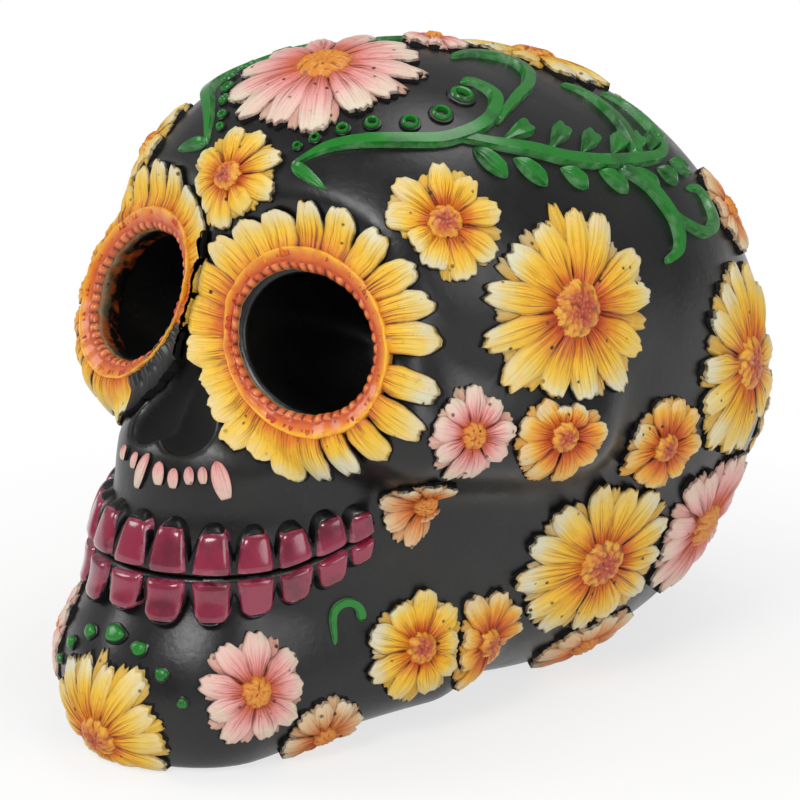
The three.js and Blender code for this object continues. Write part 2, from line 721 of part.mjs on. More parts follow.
function teethGeometry(towards, height) {
  const last = THREE.MathUtils.degToRad(LAST_TOOTH_DEGREES);
  const pitch = last / TEETH_PER_SIDE;
  const section = (angle, relief) => {
    const back = (angle / last) ** 2;
    const bite = MOUTH.z + BITE_RISE * back + towards * BITE_GAP / 2;
    const root = bite + towards * height * (1 - back * (1 - BACK_TOOTH_SHARE));
    return toothSection(angle, Math.min(bite, root), Math.max(bite, root), relief);
  };
  const rings = [];
  for (let tooth = -TEETH_PER_SIDE; tooth < TEETH_PER_SIDE; tooth += 1) {
    rings.push(section(tooth * pitch, TOOTH_GROOVE_RELIEF));
    for (const share of TOOTH_FACE_SHARES) {
      rings.push(section((tooth + share) * pitch, TOOTH_RELIEF));
    }
  }
  rings.push(section(last, TOOTH_GROOVE_RELIEF));
  return closedTube(rings);
}

function toothSection(angle, low, high, relief) {
  const inset = (high - low) * TOOTH_BEVEL_SHARE;
  return [
    mouthPoint(angle, high, SEAT_GAP),
    mouthPoint(angle, high - inset, SEAT_GAP + relief),
    mouthPoint(angle, low + inset, SEAT_GAP + relief),
    mouthPoint(angle, low, SEAT_GAP),
    mouthPoint(angle, (low + high) / 2, SEAT_GAP),
  ];
}

// Vines: raised strands that taper along smooth routes on the skin

function routeKnots(route) {
  return route.map(([bearing, tilt]) => skinPointAt(bearing, tilt, SEAT_GAP));
}

function strandGeometry(knots, widthShares, stemWidth) {
  const curve = new THREE.CatmullRomCurve3(knots, false, 'centripetal');
  const steps = Math.ceil((knots.length - 1) * STRAND_STEPS_PER_POINT);
  const widths = new THREE.SplineCurve(widthShares.map((share, at) => new THREE.Vector2(at, share)));
  const rings = [];
  for (let step = 0; step <= steps; step += 1) {
    const share = step / steps;
    const middle = curve.getPoint(share);
    const normal = skinNormal(middle);
    const side = curve.getTangent(share).cross(normal).normalize();
    const half = stemWidth * widths.getPoint(share).y / 2;
    const relief = STEM_RELIEF * Math.min(1, widths.getPoint(share).y);
    rings.push([[half, 0], [-half, 0], [0, relief]].map(([across, height]) => {
      const start = middle.clone().addScaledVector(side, across);
      start.addScaledVector(normal, STRAND_LANDING_HEIGHT);
      return landOnSkin(start, normal.clone().negate(), SEAT_GAP + height);
    }));
  }
  return closedTube(rings);
}

function vineGeometry() {
  let solid = null;
  const join = (geometry) => {
    solid = solid === null ? toSolid(geometry) : solid.add(toSolid(geometry));
  };
  for (const { route, widthShares } of VINE_STRANDS) {
    join(strandGeometry(routeKnots(route), widthShares, STEM_WIDTH));
  }
  for (const { route } of VINE_LEAVES) {
    join(strandGeometry(routeKnots(route), LEAF_WIDTH_SHARES, LEAF_WIDTH));
  }
  return toGeometry(solid);
}

// The hook on the jaw: a short stem that runs into most of a turn
function jawTendrilGeometry() {
  const frame = flowerFrame(TENDRIL_BEARING, TENDRIL_TILT);
  const knots = [flowerPoint(
    frame, Math.hypot(TENDRIL_HOOK_RADIUS, TENDRIL_STEM_LENGTH),
    Math.PI + Math.atan2(TENDRIL_STEM_LENGTH, TENDRIL_HOOK_RADIUS), SEAT_GAP,
  )];
  for (const turn of TENDRIL_TURNS_DEGREES) {
    knots.push(flowerPoint(frame, TENDRIL_HOOK_RADIUS, THREE.MathUtils.degToRad(turn), SEAT_GAP));
  }
  return strandGeometry(knots, TENDRIL_WIDTH_SHARES, STEM_WIDTH);
}

// Assembly

function paint(name) {
  const [color, roughness, metalness] = PAINTS[name];
  return new THREE.MeshStandardMaterial({ color, roughness, metalness });
}

function addPiece(group, name, geometry, paintName) {
  const mesh = new THREE.Mesh(geometry, paint(paintName));
  mesh.name = name;
  group.add(mesh);
}

function addPair(group, name, geometry, paintName) {
  addPiece(group, `${name}_left`, geometry, paintName);
  addPiece(group, `${name}_right`, mirrored(geometry), paintName);
}

const skull = new THREE.Group();
addPiece(skull, 'skull_body', skullBody(), 'black');
addPair(skull, 'eye_flower', eyeFlowerGeometry(), 'yellow');
addPair(skull, 'eye_rim', eyeRimGeometry(), 'rope');
addPiece(skull, 'upper_teeth', teethGeometry(1, UPPER_TOOTH_HEIGHT), 'burgundy');
addPiece(skull, 'lower_teeth', teethGeometry(-1, LOWER_TOOTH_HEIGHT), 'burgundy');
addPair(skull, 'vine', vineGeometry(), 'green');
addPair(skull, 'jaw_tendril', jawTendrilGeometry(), 'green');
const flowers = allFlowers();
for (const flower of flowers) {
  addPiece(skull, flower.name, flowerGeometry(flower, flowers), flower.paint);
}

export default skull;
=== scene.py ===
import math
from collections import namedtuple
from itertools import product

import bpy
import numpy as np
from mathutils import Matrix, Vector


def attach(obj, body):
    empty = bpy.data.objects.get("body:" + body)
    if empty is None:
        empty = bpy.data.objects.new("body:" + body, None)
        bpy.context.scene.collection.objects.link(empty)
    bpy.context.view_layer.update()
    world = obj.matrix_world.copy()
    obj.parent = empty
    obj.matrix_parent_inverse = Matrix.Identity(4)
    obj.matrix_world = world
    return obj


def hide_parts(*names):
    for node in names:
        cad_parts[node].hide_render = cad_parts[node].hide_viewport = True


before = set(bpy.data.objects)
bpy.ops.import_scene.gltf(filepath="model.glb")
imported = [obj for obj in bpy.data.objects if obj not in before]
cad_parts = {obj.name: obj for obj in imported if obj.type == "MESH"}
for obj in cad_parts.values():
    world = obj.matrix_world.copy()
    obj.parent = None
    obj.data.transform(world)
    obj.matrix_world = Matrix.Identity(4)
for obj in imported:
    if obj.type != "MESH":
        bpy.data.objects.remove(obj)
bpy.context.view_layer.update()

# Sugar skull: a painted skull ornament with flowers, vines and teeth in high relief.
# The skull faces -Y, its left side is +X. Forms are worked out in millimetres.
MM = 0.001

# Camera, in the frame's axes: turned from the face towards the left side, and looking down
VIEW_TURN_DEGREES = 43.5
VIEW_TILT_DEGREES = 17.5
VIEW_DISTANCE = 850.0
VIEW_AIM = np.array((0.0, 0.0, 61.0))
VIEW_LENS = 207.7
VIEW_SHIFT = (-0.00875, -0.075)

# The skull's skin, from the same masses and bars as the solid
SKULL = np.array((112.0, 160.0, 120.0))
BROAD_BLEND, MIDDLE_BLEND, CLOSE_BLEND = 14.0, 10.0, 7.0
MASSES = (
    ((0, 0.075, 0.525), (0.455, 0.356, 0.404), BROAD_BLEND),
    ((0, -0.075, 0.65), (0.41, 0.25, 0.325), BROAD_BLEND),
    ((0, 0.194, 0.4), (0.41, 0.281, 0.317), BROAD_BLEND),
    ((0, 0.0875, 0.2), (0.357, 0.3125, 0.233), BROAD_BLEND),
    ((0, -0.222, 0.5), (0.235, 0.125, 0.225), BROAD_BLEND),
    ((0, -0.269, 0.417), (0.188, 0.144, 0.133), CLOSE_BLEND),
    ((0, -0.282, 0.3), (0.209, 0.152, 0.117), CLOSE_BLEND),
    ((0, -0.2875, 0.2), (0.208, 0.135, 0.117), CLOSE_BLEND),
    ((0, -0.365, 0.1), (0.17, 0.128, 0.15), MIDDLE_BLEND),
    ((0, -0.131, 0.283), (0.295, 0.206, 0.25), MIDDLE_BLEND),
)
BARS = (
    ((0.321, -0.225, 0.5), (0.411, -0.0375, 0.467), 8.0, 6.0),
    ((0.107, -0.3625, 0.1), (0.214, -0.15, 0.117), 12.0, 10.5),
)
HEART = (0, 0.03, 0.483) * SKULL
EYE_CENTRE = (0.1884, -0.2931, 0.6317) * SKULL
NOSE_TOP = (0, -0.325, 0.6417) * SKULL
NOSE_FLOOR = (0.0375, -0.3813, 0.5042) * SKULL
MOUTH = (0, -0.282, 0.3) * SKULL
EYE_TURN_DEGREES, EYE_TILT_DEGREES, EYE_LEAN_DEGREES = 15, 20, 9
SURROUND_RADIUS, SURROUND_DEPTH, SURROUND_ROUNDING = 18.5, 14.0, 4.0
RECESS_RADIUS, RECESS_DEPTH, RECESS_BLEND = 22.0, 20.0, 6.0
SOCKET_RADII = np.array((13.1, 26.0, 12.0))
SOCKET_SETBACK = 5.0
SOCKET_EDGE = 1.2
# Nose: radii at the top and at the nostrils, rounding of its edge, and the depth over which painted shade
# darkens its hollow
NOSE_TOP_RADIUS, NOSTRIL_RADIUS, NOSE_EDGE, NOSE_SHADE_DEPTH = 3.6, 5.4, 1.2, 1.5
BASE_EDGE = 1.6
BODY_LOW, BODY_HIGH = np.array((-60.0, -84.0, -3.0)), np.array((60.0, 80.0, 122.0))
BODY_STEP = 0.8

# Walks down to the skin: steps at most, share of the gap per step, gap that counts as none
WALK_STEPS, STEP_SHARE, NO_GAP = 90, 0.9, 0.01
# Cells in a block of the coarse grid, and points worked out at once
BLOCK, MOST_AT_ONCE = 4, 200000
SIDES = (("left", 1), ("right", -1))
CORNERS = list(product((0, 1), repeat=3))
AXES = np.eye(3, dtype=int)


def aim(bearing_degrees, tilt_degrees):
    bearing, tilt = math.radians(bearing_degrees), math.radians(tilt_degrees)
    level = math.cos(tilt)
    return np.array((math.sin(bearing) * level, -math.cos(bearing) * level, math.sin(tilt)))


EYE_ACROSS = aim(EYE_TURN_DEGREES + 90, 0)
EYE_OUT = aim(EYE_TURN_DEGREES, EYE_TILT_DEGREES)
EYE_RISE = np.cross(EYE_OUT, EYE_ACROSS)
EYE_LEAN = math.tan(math.radians(EYE_LEAN_DEGREES))
EYE_UP = EYE_RISE - EYE_LEAN * EYE_ACROSS


# Distances: negative inside, positive outside

def length(vectors):
    return np.sqrt(np.einsum("...i,...i->...", vectors, vectors))


def unit(vectors):
    return vectors / np.maximum(length(vectors), 1e-9)[..., None]


def clamp(values):
    return np.clip(values, 0, 1)


def folded(points):
    """The points, with those on the right side moved to their mirror images."""
    return np.concatenate((np.abs(points[..., :1]), points[..., 1:]), axis=-1)


def blend(first, second, width):
    overlap = np.maximum(width - np.abs(first - second), 0) / width
    return np.minimum(first, second) - overlap * overlap * width / 4


def carve(distance, cutter, width):
    return -blend(-distance, cutter, width)


def mass_distance(points, centre, radii):
    share = (points - centre) / radii
    near = length(share)
    return near * (near - 1) / np.maximum(length(share / radii), 1e-9)


def bar_distance(points, start, end, start_radius, end_radius):
    along = end - start
    share = clamp((points - start) @ along / (along @ along))
    radius = start_radius + share * (end_radius - start_radius)
    return length(points - start - share[..., None] * along) - radius


def nose_distance(points):
    return bar_distance(folded(points), NOSE_TOP, NOSE_FLOOR, NOSE_TOP_RADIUS, NOSTRIL_RADIUS)


def eye_axes(points):
    offset = points - EYE_CENTRE
    rise = offset @ EYE_RISE
    return offset @ EYE_ACROSS + EYE_LEAN * rise, -(offset @ EYE_OUT), rise


def disc_distance(radius, depth, disc_radius, near, far):
    across = radius - disc_radius + SURROUND_ROUNDING
    through = np.abs(depth - (near + far) / 2) - (far - near) / 2 + SURROUND_ROUNDING
    outside = np.hypot(np.maximum(across, 0), np.maximum(through, 0))
    return outside + np.minimum(np.maximum(across, through), 0) - SURROUND_ROUNDING


def skin_distance(points):
    points = folded(points)
    distance = np.inf
    for centre, radii, width in MASSES:
        distance = blend(distance, mass_distance(points, centre * SKULL, radii * SKULL), width)
    for start, end, *radii in BARS:
        near = bar_distance(points, start * SKULL, end * SKULL, *radii)
        distance = blend(distance, near, MIDDLE_BLEND)
    across, depth, rise = eye_axes(points)
    radius = np.hypot(across, rise)
    surround = disc_distance(radius, depth, SURROUND_RADIUS, 0, SURROUND_DEPTH)
    recess = disc_distance(radius, depth, RECESS_RADIUS, -RECESS_DEPTH, 0)
    return carve(blend(distance, surround, CLOSE_BLEND), recess, RECESS_BLEND)


def body_distance(points):
    socket = mass_distance(
        np.stack(eye_axes(folded(points)), axis=-1), (0, SOCKET_SETBACK, 0), SOCKET_RADII)
    distance = carve(skin_distance(points), socket, SOCKET_EDGE)
    distance = carve(distance, nose_distance(points), NOSE_EDGE)
    return carve(distance, points[..., 2], BASE_EDGE)


def slope(distance, points, probe=0.2):
    steps = probe * AXES
    return np.stack([
        distance(points + step) - distance(points - step) for step in steps], axis=-1) / (2 * probe)


def skin_normal(points):
    return unit(slope(skin_distance, points))


def march(starts, direction, most):
    """Walks from the starts along a direction, as far as the skin or a most."""
    points = np.array(starts)
    travelled = np.zeros(len(points))
    active = np.arange(len(points))
    for _ in range(WALK_STEPS):
        gap = skin_distance(points[active])
        step = np.minimum(gap * STEP_SHARE, most - travelled[active])
        points[active] += direction * step[:, None]
        travelled[active] += step
        active = active[(gap > NO_GAP) & (travelled[active] < most - NO_GAP / 10)]
        if not len(active):
            break
    return points


def to_surface(distance, points, turns, least_slope=1e-9):
    """Moves points onto the surface of a distance, in a number of turns."""
    for _ in range(turns):
        gradient = slope(distance, points)
        share = distance(points) / np.maximum(length(gradient), least_slope)
        points = points - unit(gradient) * share[:, None]
    return points


def skin_at(places):
    """Points on the skin that bearings and tilts from the middle of the head aim at."""
    landed = []
    for bearing, tilt in places:
        direction = aim(bearing, tilt)
        landed.append(march((HEART + direction * SKULL[1])[None], -direction, SKULL[1])[0])
    return np.array(landed)


# Meshes

def linked(name, data):
    """A new object in the scene."""
    made = bpy.data.objects.new(name, data)
    bpy.context.scene.collection.objects.link(made)
    return made


class Shape:
    """Vertices, faces, one painter's value per vertex and one paint per face."""

    def __init__(self):
        self.points, self.faces, self.values, self.paints, self.count = [], [], [], [], 0

    def add(self, points, faces, values, paints=0):
        self.points.append(points)
        self.values.append(np.broadcast_to(values, (len(points), 3)))
        self.faces.extend([[self.count + at for at in face] for face in faces])
        self.paints.extend([paints] * len(faces) if isinstance(paints, int) else paints)
        self.count += len(points)

    def build(self, name, materials, slot, replaced=(), sharp_degrees=50, turned_over=False):
        faces = [face[::-1] for face in self.faces] if turned_over else self.faces
        mesh = bpy.data.meshes.new(name)
        mesh.from_pydata((np.concatenate(self.points) * MM).tolist(), [], faces)
        paint = mesh.attributes.new("paint", "FLOAT_VECTOR", "POINT")
        paint.data.foreach_set("vector", np.concatenate(self.values).ravel())
        mesh.polygons.foreach_set("material_index", self.paints)
        mesh.polygons.foreach_set("use_smooth", [True] * len(faces))
        mesh.update()
        mesh.validate()
        if sharp_degrees:
            mesh.set_sharp_from_angle(angle=math.radians(sharp_degrees))
        for material in materials:
            mesh.materials.append(material)
        piece = linked(name, mesh)
        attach(piece, "root")
        if replaced:
            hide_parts(*replaced)


def grid_faces(rows, columns, closed=False, looped=False):
    """Faces of a grid of points: a closed one joins its sides, a looped one its ends."""
    faces = []
    for row in range(rows if looped else rows - 1):
        here, ahead = row * columns, (row + 1) % rows * columns
        for at in range(columns if closed else columns - 1):
            beside = (at + 1) % columns
            faces.append([here + at, ahead + at, ahead + beside, here + beside])
    return faces


def grid_border(rows, columns):
    """The border of a grid of points, in the turn that keeps the grid on the left."""
    every = np.arange(rows * columns).reshape(rows, columns)
    return [*every[:, 0].tolist(), *every[-1, 1:].tolist(),
            *every[-2::-1, -1].tolist(), *every[0, -2:0:-1].tolist()]


def stack_faces(rows, columns):
    """Faces of a stack of rings of points, with the first and the last ring closed."""
    ends = list(range(columns)), list(range((rows - 1) * columns, rows * columns))[::-1]
    return grid_faces(rows, columns, closed=True) + list(ends)


def shares(rows, columns):
    """Shares along a grid, from 0 to 1, and across it, from -1 to 1."""
    return np.linspace(0, 1, rows)[:, None], np.linspace(-1, 1, columns)[None, :]


def add_relief(shape, place, grid, values, rings=(), paints=(0,)):
    """A grid of places and heights over the skin, with walls under its border and a bottom.

    Each ring of wall points stands at a share of the border's height plus a level. The paints
    are those of the grid and of each ring of walls. The bottom has the last one.
    """
    grid = np.broadcast_arrays(*grid)
    rows, columns = grid[0].shape
    first, second, height = (part.ravel() for part in grid)
    values = [np.broadcast_to(value, grid[0].shape).ravel() for value in values]
    border = grid_border(rows, columns)
    count = len(border)
    chosen = np.concatenate((np.arange(rows * columns), *[border] * len(rings)))
    heights = [height] + [share * height[border] + level for share, level in rings]
    faces = grid_faces(rows, columns)
    face_paints = [paints[0]] * len(faces)
    edge = border
    for number, paint in enumerate(paints[1:]):
        below = [rows * columns + number * count + at for at in range(count)]
        faces += [[edge[at - 1], below[at - 1], below[at], edge[at]] for at in range(count)]
        face_paints += [paint] * count
        edge = below
    faces.append(edge[::-1])
    face_paints.append(paints[-1])
    points = place(first[chosen], second[chosen], np.concatenate(heights))
    shape.add(points, faces, np.stack(values, axis=-1)[chosen], face_paints)


def window(corner, sizes):
    return tuple(slice(at, at + size) for at, size in zip(corner, sizes))


def net_surface(distance, low, high, step):
    """Closed skin of a distance, as one point in each cell that the skin passes through."""
    block = step * BLOCK
    counts = np.ceil((high - low) / block).astype(int)
    centres = [start + block * (np.arange(count) + 0.5) for start, count in zip(low, counts)]
    coarse = distance(np.stack(np.meshgrid(*centres, indexing="ij"), axis=-1))
    cells = np.kron(coarse, np.ones((BLOCK,) * 3))
    values = np.pad(cells, ((0, 1),) * 3, mode="edge")
    near = np.abs(cells) < block * 1.6 + 1
    needed = np.zeros(values.shape, dtype=bool)
    for corner in CORNERS:
        needed[window(corner, near.shape)] |= near
    places = np.argwhere(needed)
    for chosen in np.array_split(places, len(places) // MOST_AT_ONCE + 1):
        values[tuple(chosen.T)] = distance(low + step * chosen)
    signs = values < 0
    views = [signs[window(corner, near.shape)] for corner in CORNERS]
    mixed = np.logical_or.reduce(views) & ~np.logical_and.reduce(views)
    base = np.argwhere(mixed)
    total, hits = np.zeros((len(base), 3)), np.zeros(len(base))
    for corner, axis in product(CORNERS, range(3)):
        if corner[axis]:
            continue
        here = base + corner
        first, second = values[tuple(here.T)], values[tuple((here + AXES[axis]).T)]
        crossing = (first < 0) != (second < 0)
        share = np.where(crossing, first / np.where(crossing, first - second, 1), 0)
        total += np.where(crossing[:, None], corner + share[:, None] * AXES[axis], 0)
        hits += crossing
    number = np.full(near.shape, -1)
    number[mixed] = np.arange(len(base))
    faces = []
    for axis in range(3):
        edges = np.argwhere(np.diff(signs, axis=axis))
        aside, back = AXES[(axis + 1) % 3], AXES[(axis + 2) % 3]
        loop = edges - aside - back, edges - back, edges, edges - aside
        quads = np.stack([number[tuple(cell.T)] for cell in loop], axis=1)
        leaving = signs[tuple(edges.T)]
        faces.append(np.where(leaving[:, None], quads, quads[:, ::-1]))
    return low + step * (base + total / hits[:, None]), np.concatenate(faces)


# Materials

def colour(code):
    """Linear colour of a hex code as it shows on a screen."""
    parts = [((code >> shift) & 255) / 255 for shift in (16, 8, 0)]
    return (*[part / 12.92 if part <= 0.04045 else ((part + 0.055) / 1.055) ** 2.4
              for part in parts], 1.0)


class Paint:
    """The nodes of a material or of the world, built step by step over a running colour."""

    def __init__(self, owner):
        owner.use_nodes = True
        self.owner, self.tree = owner, owner.node_tree
        self.color = colour(0xffffff)

    def node(self, kind, links=None, **settings):
        made = self.tree.nodes.new(kind)
        for key, value in settings.items():
            setattr(made, key, value)
        for key, value in (links or {}).items():
            self.put(made.inputs[key], value)
        return made

    def put(self, socket, value):
        if isinstance(value, bpy.types.NodeSocket):
            self.tree.links.new(value, socket)
        else:
            socket.default_value = value

    def maths(self, operation, first, second=0.0):
        return self.node("ShaderNodeMath", {0: first, 1: second}, operation=operation).outputs[0]

    def add(self, first, second):
        return self.maths("ADD", first, second)

    def times(self, first, *factors):
        for factor in factors:
            first = self.maths("MULTIPLY", first, factor)
        return first

    def between(self, value, low, high, start=0.0, end=1.0):
        return self.node("ShaderNodeMapRange", {
            0: value, 1: low, 2: high, 3: start, 4: end}).outputs[0]

    def place(self):
        return self.node("ShaderNodeTexCoord").outputs["Object"]

    def noise(self, scale, detail=3.0, roughness=0.6, vector=None):
        return self.node("ShaderNodeTexNoise", {
            "Scale": scale, "Detail": detail, "Roughness": roughness,
            "Vector": self.place() if vector is None else vector}).outputs[0]

    def cloud(self, scale, *bounds, **form):
        """Noise, stretched between bounds."""
        return self.between(self.noise(scale, **form), *bounds)

    def painted(self):
        vector = self.node("ShaderNodeAttribute", attribute_name="paint").outputs["Vector"]
        return self.node("ShaderNodeSeparateXYZ", {0: vector}).outputs[:3]

    def base(self, level, stops):
        """Starts the running colour with a ramp."""
        made = self.node("ShaderNodeValToRGB", {0: level})
        points = made.color_ramp.elements
        while len(points) < len(stops):
            points.new(0.5)
        for point, (place, code) in zip(points, stops):
            point.position = place
            point.color = colour(code)
        self.color = made.outputs[0]

    def cover(self, code, *shares, kind="MIX"):
        """Lays a colour over the running one, by the product of the shares."""
        made = self.node("ShaderNodeMix", data_type="RGBA", blend_type=kind)
        for index, value in ((0, self.times(*shares)), (6, self.color), (7, colour(code))):
            self.put(made.inputs[index], value)
        self.color = made.outputs[2]

    def pinholes(self, code, scale, size, kept):
        """Small dark spots in a share of the cells."""
        cells = self.node("ShaderNodeTexVoronoi", {"Vector": self.place(), "Scale": scale}).outputs
        own = self.node("ShaderNodeSeparateColor", {0: cells["Color"]}).outputs[0]
        near = self.between(cells["Distance"], size, size * 0.6)
        self.cover(code, near, self.maths("GREATER_THAN", own, 1 - kept))

    def bump(self, *heights):
        """Raises the surface by heights, each with a strength and a distance."""
        links = {}
        for height, strength, distance in heights:
            links |= {"Height": height, "Strength": strength, "Distance": distance * MM}
            links["Normal"] = self.node("ShaderNodeBump", links).outputs[0]
        self.put(self.tree.nodes["Principled BSDF"].inputs["Normal"], links["Normal"])

    def finish(self, roughness, **constants):
        shader = self.tree.nodes["Principled BSDF"]
        self.put(shader.inputs["Base Color"], self.color)
        self.put(shader.inputs["Roughness"], roughness)
        for key, value in constants.items():
            self.put(shader.inputs[key.replace("_", " ")], value)
        return self.owner


def new_paint(name):
    return Paint(bpy.data.materials.new(name))


def black_paint():
    paint = new_paint("black_satin")
    broad, fine, grain = paint.noise(55, 4), paint.noise(900), paint.noise(2600, 2)
    paint.base(paint.between(broad, 0.3, 0.72), (
        (0.0, 0x0b0b0c), (0.45, 0x101011), (0.8, 0x151513), (1.0, 0x1f1c15)))
    # Fine grey flecks over the black: dust, and a painted sheen.
    paint.cover(0x3a3a3a, paint.between(fine, 0.62, 0.78, 0.0, 0.28))
    # The paint attribute's x darkens the black to near black and roughens it: painted shade, which the
    # skull sets in its nose hollow.
    painted_nose_shade = paint.painted()[0]
    paint.cover(0x050404, painted_nose_shade)
    paint.bump((broad, 0.25, 0.6), (fine, 0.22, 0.16), (grain, 0.12, 0.05))
    roughness = paint.cloud(120, 0.3, 0.75, 0.24, 0.4, detail=4)
    return paint.finish(paint.maths("MAXIMUM", roughness, paint.times(painted_nose_shade, 0.9)))


def petal_paint(name, stops, streak_and_shade, seed):
    """Petals: x runs from the foot of a petal to its tip, y across it, z is the petal's own."""
    paint = new_paint(name)
    along, across, own = paint.painted()
    blotch = paint.noise(130 + seed, 4)
    level = paint.add(along, paint.between(blotch, 0.25, 0.75, -0.16, 0.16))
    # The petal's own value shifts it along the ramp. Back-layer petals, whose own value is below 0, come
    # out darker here and are darkened again below: painted shade under the front petals.
    paint.base(paint.add(level, paint.between(own, -1, 1, -0.2, 0.1)), stops)
    paint.cover(0xb98a4a, paint.maths("LESS_THAN", own, 0), 0.5, kind="MULTIPLY")
    streaks = paint.node("ShaderNodeCombineXYZ", {
        0: paint.times(across, 6.0), 1: paint.times(along, 0.7), 2: paint.times(own, 37.0)})
    lines = paint.noise(1.6, vector=streaks.outputs[0])
    foot = paint.between(along, 0.1, 0.9, 1.0, 0.1)
    paint.cover(streak_and_shade, paint.between(lines, 0.5, 0.58), foot, 0.8)
    paint.cover(0x3c1a0c, paint.between(lines, 0.6, 0.67), foot, 0.8)
    tip_code = stops[-1][1]
    paint.cover(tip_code, paint.between(lines, 0.46, 0.34), paint.between(along, 0.3, 0.9), 0.4)
    # Darker towards the sides of a petal, most towards its foot: painted shade in the gaps between
    # petals.
    aside = paint.maths("ABSOLUTE", across)
    paint.cover(streak_and_shade, paint.between(aside, 0.74, 1.0), paint.between(along, 0.2, 0.95, 0.85, 0.1))
    # A near-black ragged outline along the sides and the tip: the black under the paint showing at its
    # edge, and painted shade at the petal's edge.
    outline = paint.maths(
        "MAXIMUM", paint.between(aside, 0.9, 1.0), paint.between(along, 0.965, 1.0))
    paint.cover(0x2a160c, outline, paint.cloud(620, 0.35, 0.6, 0.25, 1.0, roughness=0.65))
    paint.pinholes(0x35200e, 420, 0.2, 0.28)
    gold_code = stops[3][1]
    paint.cover(gold_code, paint.cloud(75, 0.42, 0.62), paint.between(along, 0.35, 0.75), 0.55)
    paint.cover(0x8b6a2a, paint.cloud(700, 0.6, 0.8, roughness=0.7), 0.35, kind="MULTIPLY")
    paint.bump((lines, 0.6, 0.4), (paint.noise(1500), 0.3, 0.12))
    return paint.finish(paint.between(blotch, 0.3, 0.7, 0.34, 0.5), Specular_IOR_Level=0.45)


def button_paint(name, stops):
    """Flower centres: x runs from the middle out, y is a grain's height, z the grain's own."""
    paint = new_paint(name)
    out, raised, own = paint.painted()
    paint.base(paint.add(out, paint.between(own, 0, 1, -0.22, 0.22)), stops)
    # Darker low between the grains: painted shade. Paler on the grains' tops: painted highlight.
    paint.cover(0x7a2c14, paint.between(raised, 0.45, 0.0, 0.0, 0.7))
    paint.cover(0xf6cf74, paint.between(raised, 0.82, 1.0, 0.0, 0.5))
    paint.pinholes(0x35190c, 520, 0.17, 0.12)
    paint.bump((paint.noise(1800), 0.35, 0.12))
    return paint.finish(0.42)


def rim_paint():
    """Eye rim: x runs from the petals over the ridge and the beads to the inner lip."""
    paint = new_paint("orange_rim")
    along, bead, _ = paint.painted()
    paint.base(paint.add(along, paint.cloud(260, 0.3, 0.7, -0.035, 0.035)), (
        (0.0, 0xe89a24), (0.12, 0xf2b428), (0.26, 0xeaa022), (0.38, 0xda701c), (0.5, 0xbc4616),
        (0.7, 0xc8501c), (0.76, 0xb86432), (0.81, 0xb0a080), (0.86, 0x6a5e46), (0.91, 0x141210)))
    paint.cover(0xd2601a, paint.cloud(340, 0.48, 0.62, 0.0, 0.6, detail=4, roughness=0.65))
    # Paler on the tops of the beads: painted highlight.
    paint.cover(0xf09a58, paint.between(bead, 0.6, 1.0, 0.0, 0.7))
    # Dark between the beads: painted shade.
    inner = paint.times(paint.between(along, 0.55, 0.58), paint.between(along, 0.79, 0.77))
    paint.cover(0x35130a, paint.between(bead, 0.5, 0.15), inner, 0.9)
    paint.pinholes(0x40180c, 420, 0.17, 0.14)
    paint.bump((paint.noise(900), 0.3, 0.12))
    return paint.finish(0.34, Coat_Weight=0.2, Coat_Roughness=0.2)


def glossy_paint(name, dark, plain, pale, wear, roughness, coat):
    """Green and burgundy enamel: pooled in the hollows, with a painted highlight along the edges."""
    paint = new_paint(name)
    edge, _, own = paint.painted()
    pool = paint.noise(150, 4)
    paint.base(paint.add(pool, paint.between(own, 0, 1, -0.08, 0.08)), (
        (0.3, dark), (0.5, plain), (0.72, plain)))
    # Paler along the edges of strands and teeth: painted highlight.
    edge_highlight = paint.add(edge, paint.cloud(420, 0.3, 0.7, -0.22, 0.22))
    paint.cover(pale, paint.between(edge_highlight, 0.78, 1.05), 0.5)
    paint.cover(wear, paint.cloud(800, 0.68, 0.74, roughness=0.65), 0.8)
    paint.bump((pool, 0.3, 0.35), (paint.noise(1300), 0.22, 0.1))
    return paint.finish(roughness, Coat_Weight=coat, Coat_Roughness=0.12)


BLACK = black_paint()
PETALS = {
    "yellow": petal_paint("yellow_petal", (
        (0.0, 0xc63e18), (0.17, 0xe07c18), (0.36, 0xeeaa1a), (0.6, 0xf2c22c), (0.8, 0xe8d07a),
        (0.97, 0xdedabc)), 0xa03a10, 0),
    "orange": petal_paint("orange_petal", (
        (0.0, 0xb83a16), (0.22, 0xda6418), (0.48, 0xea8c1a), (0.7, 0xf0ae30), (0.86, 0xe6cc84),
        (0.98, 0xdccfae)), 0x94360f, 11),
    "pink": petal_paint("pink_petal", (
        (0.0, 0xd2622a), (0.16, 0xda7864), (0.38, 0xe49892), (0.62, 0xebb4ac), (0.82, 0xe6d2be),
        (0.96, 0xded4bc)), 0xa84a3c, 23),
    "peach": petal_paint("peach_petal", (
        (0.0, 0xcc5c1e), (0.22, 0xdc8238), (0.48, 0xe29a5c), (0.72, 0xe4b684), (0.88, 0xe0cba4),
        (1.0, 0xdcd2b6)), 0x9c4a20, 31),
}
RED_BUTTON = button_paint("red_button", (
    (0.0, 0xa8402a), (0.35, 0xb84c2c), (0.62, 0xd27a28), (0.85, 0xe39c2c), (1.0, 0xe6aa38)))
GOLD_BUTTON = button_paint("gold_button", (
    (0.0, 0xd07c28), (0.5, 0xdb8c2c), (1.0, 0xd9822e)))
RIM = rim_paint()
GREEN = glossy_paint("green_enamel", 0x0c5216, 0x14781e, 0x7fae80, 0x0d3a10, 0.3, 0.15)
BURGUNDY = glossy_paint("burgundy_enamel", 0x66102a, 0x8c1d3c, 0xb8788a, 0x3a0c1a, 0.2, 0.7)


# Skull

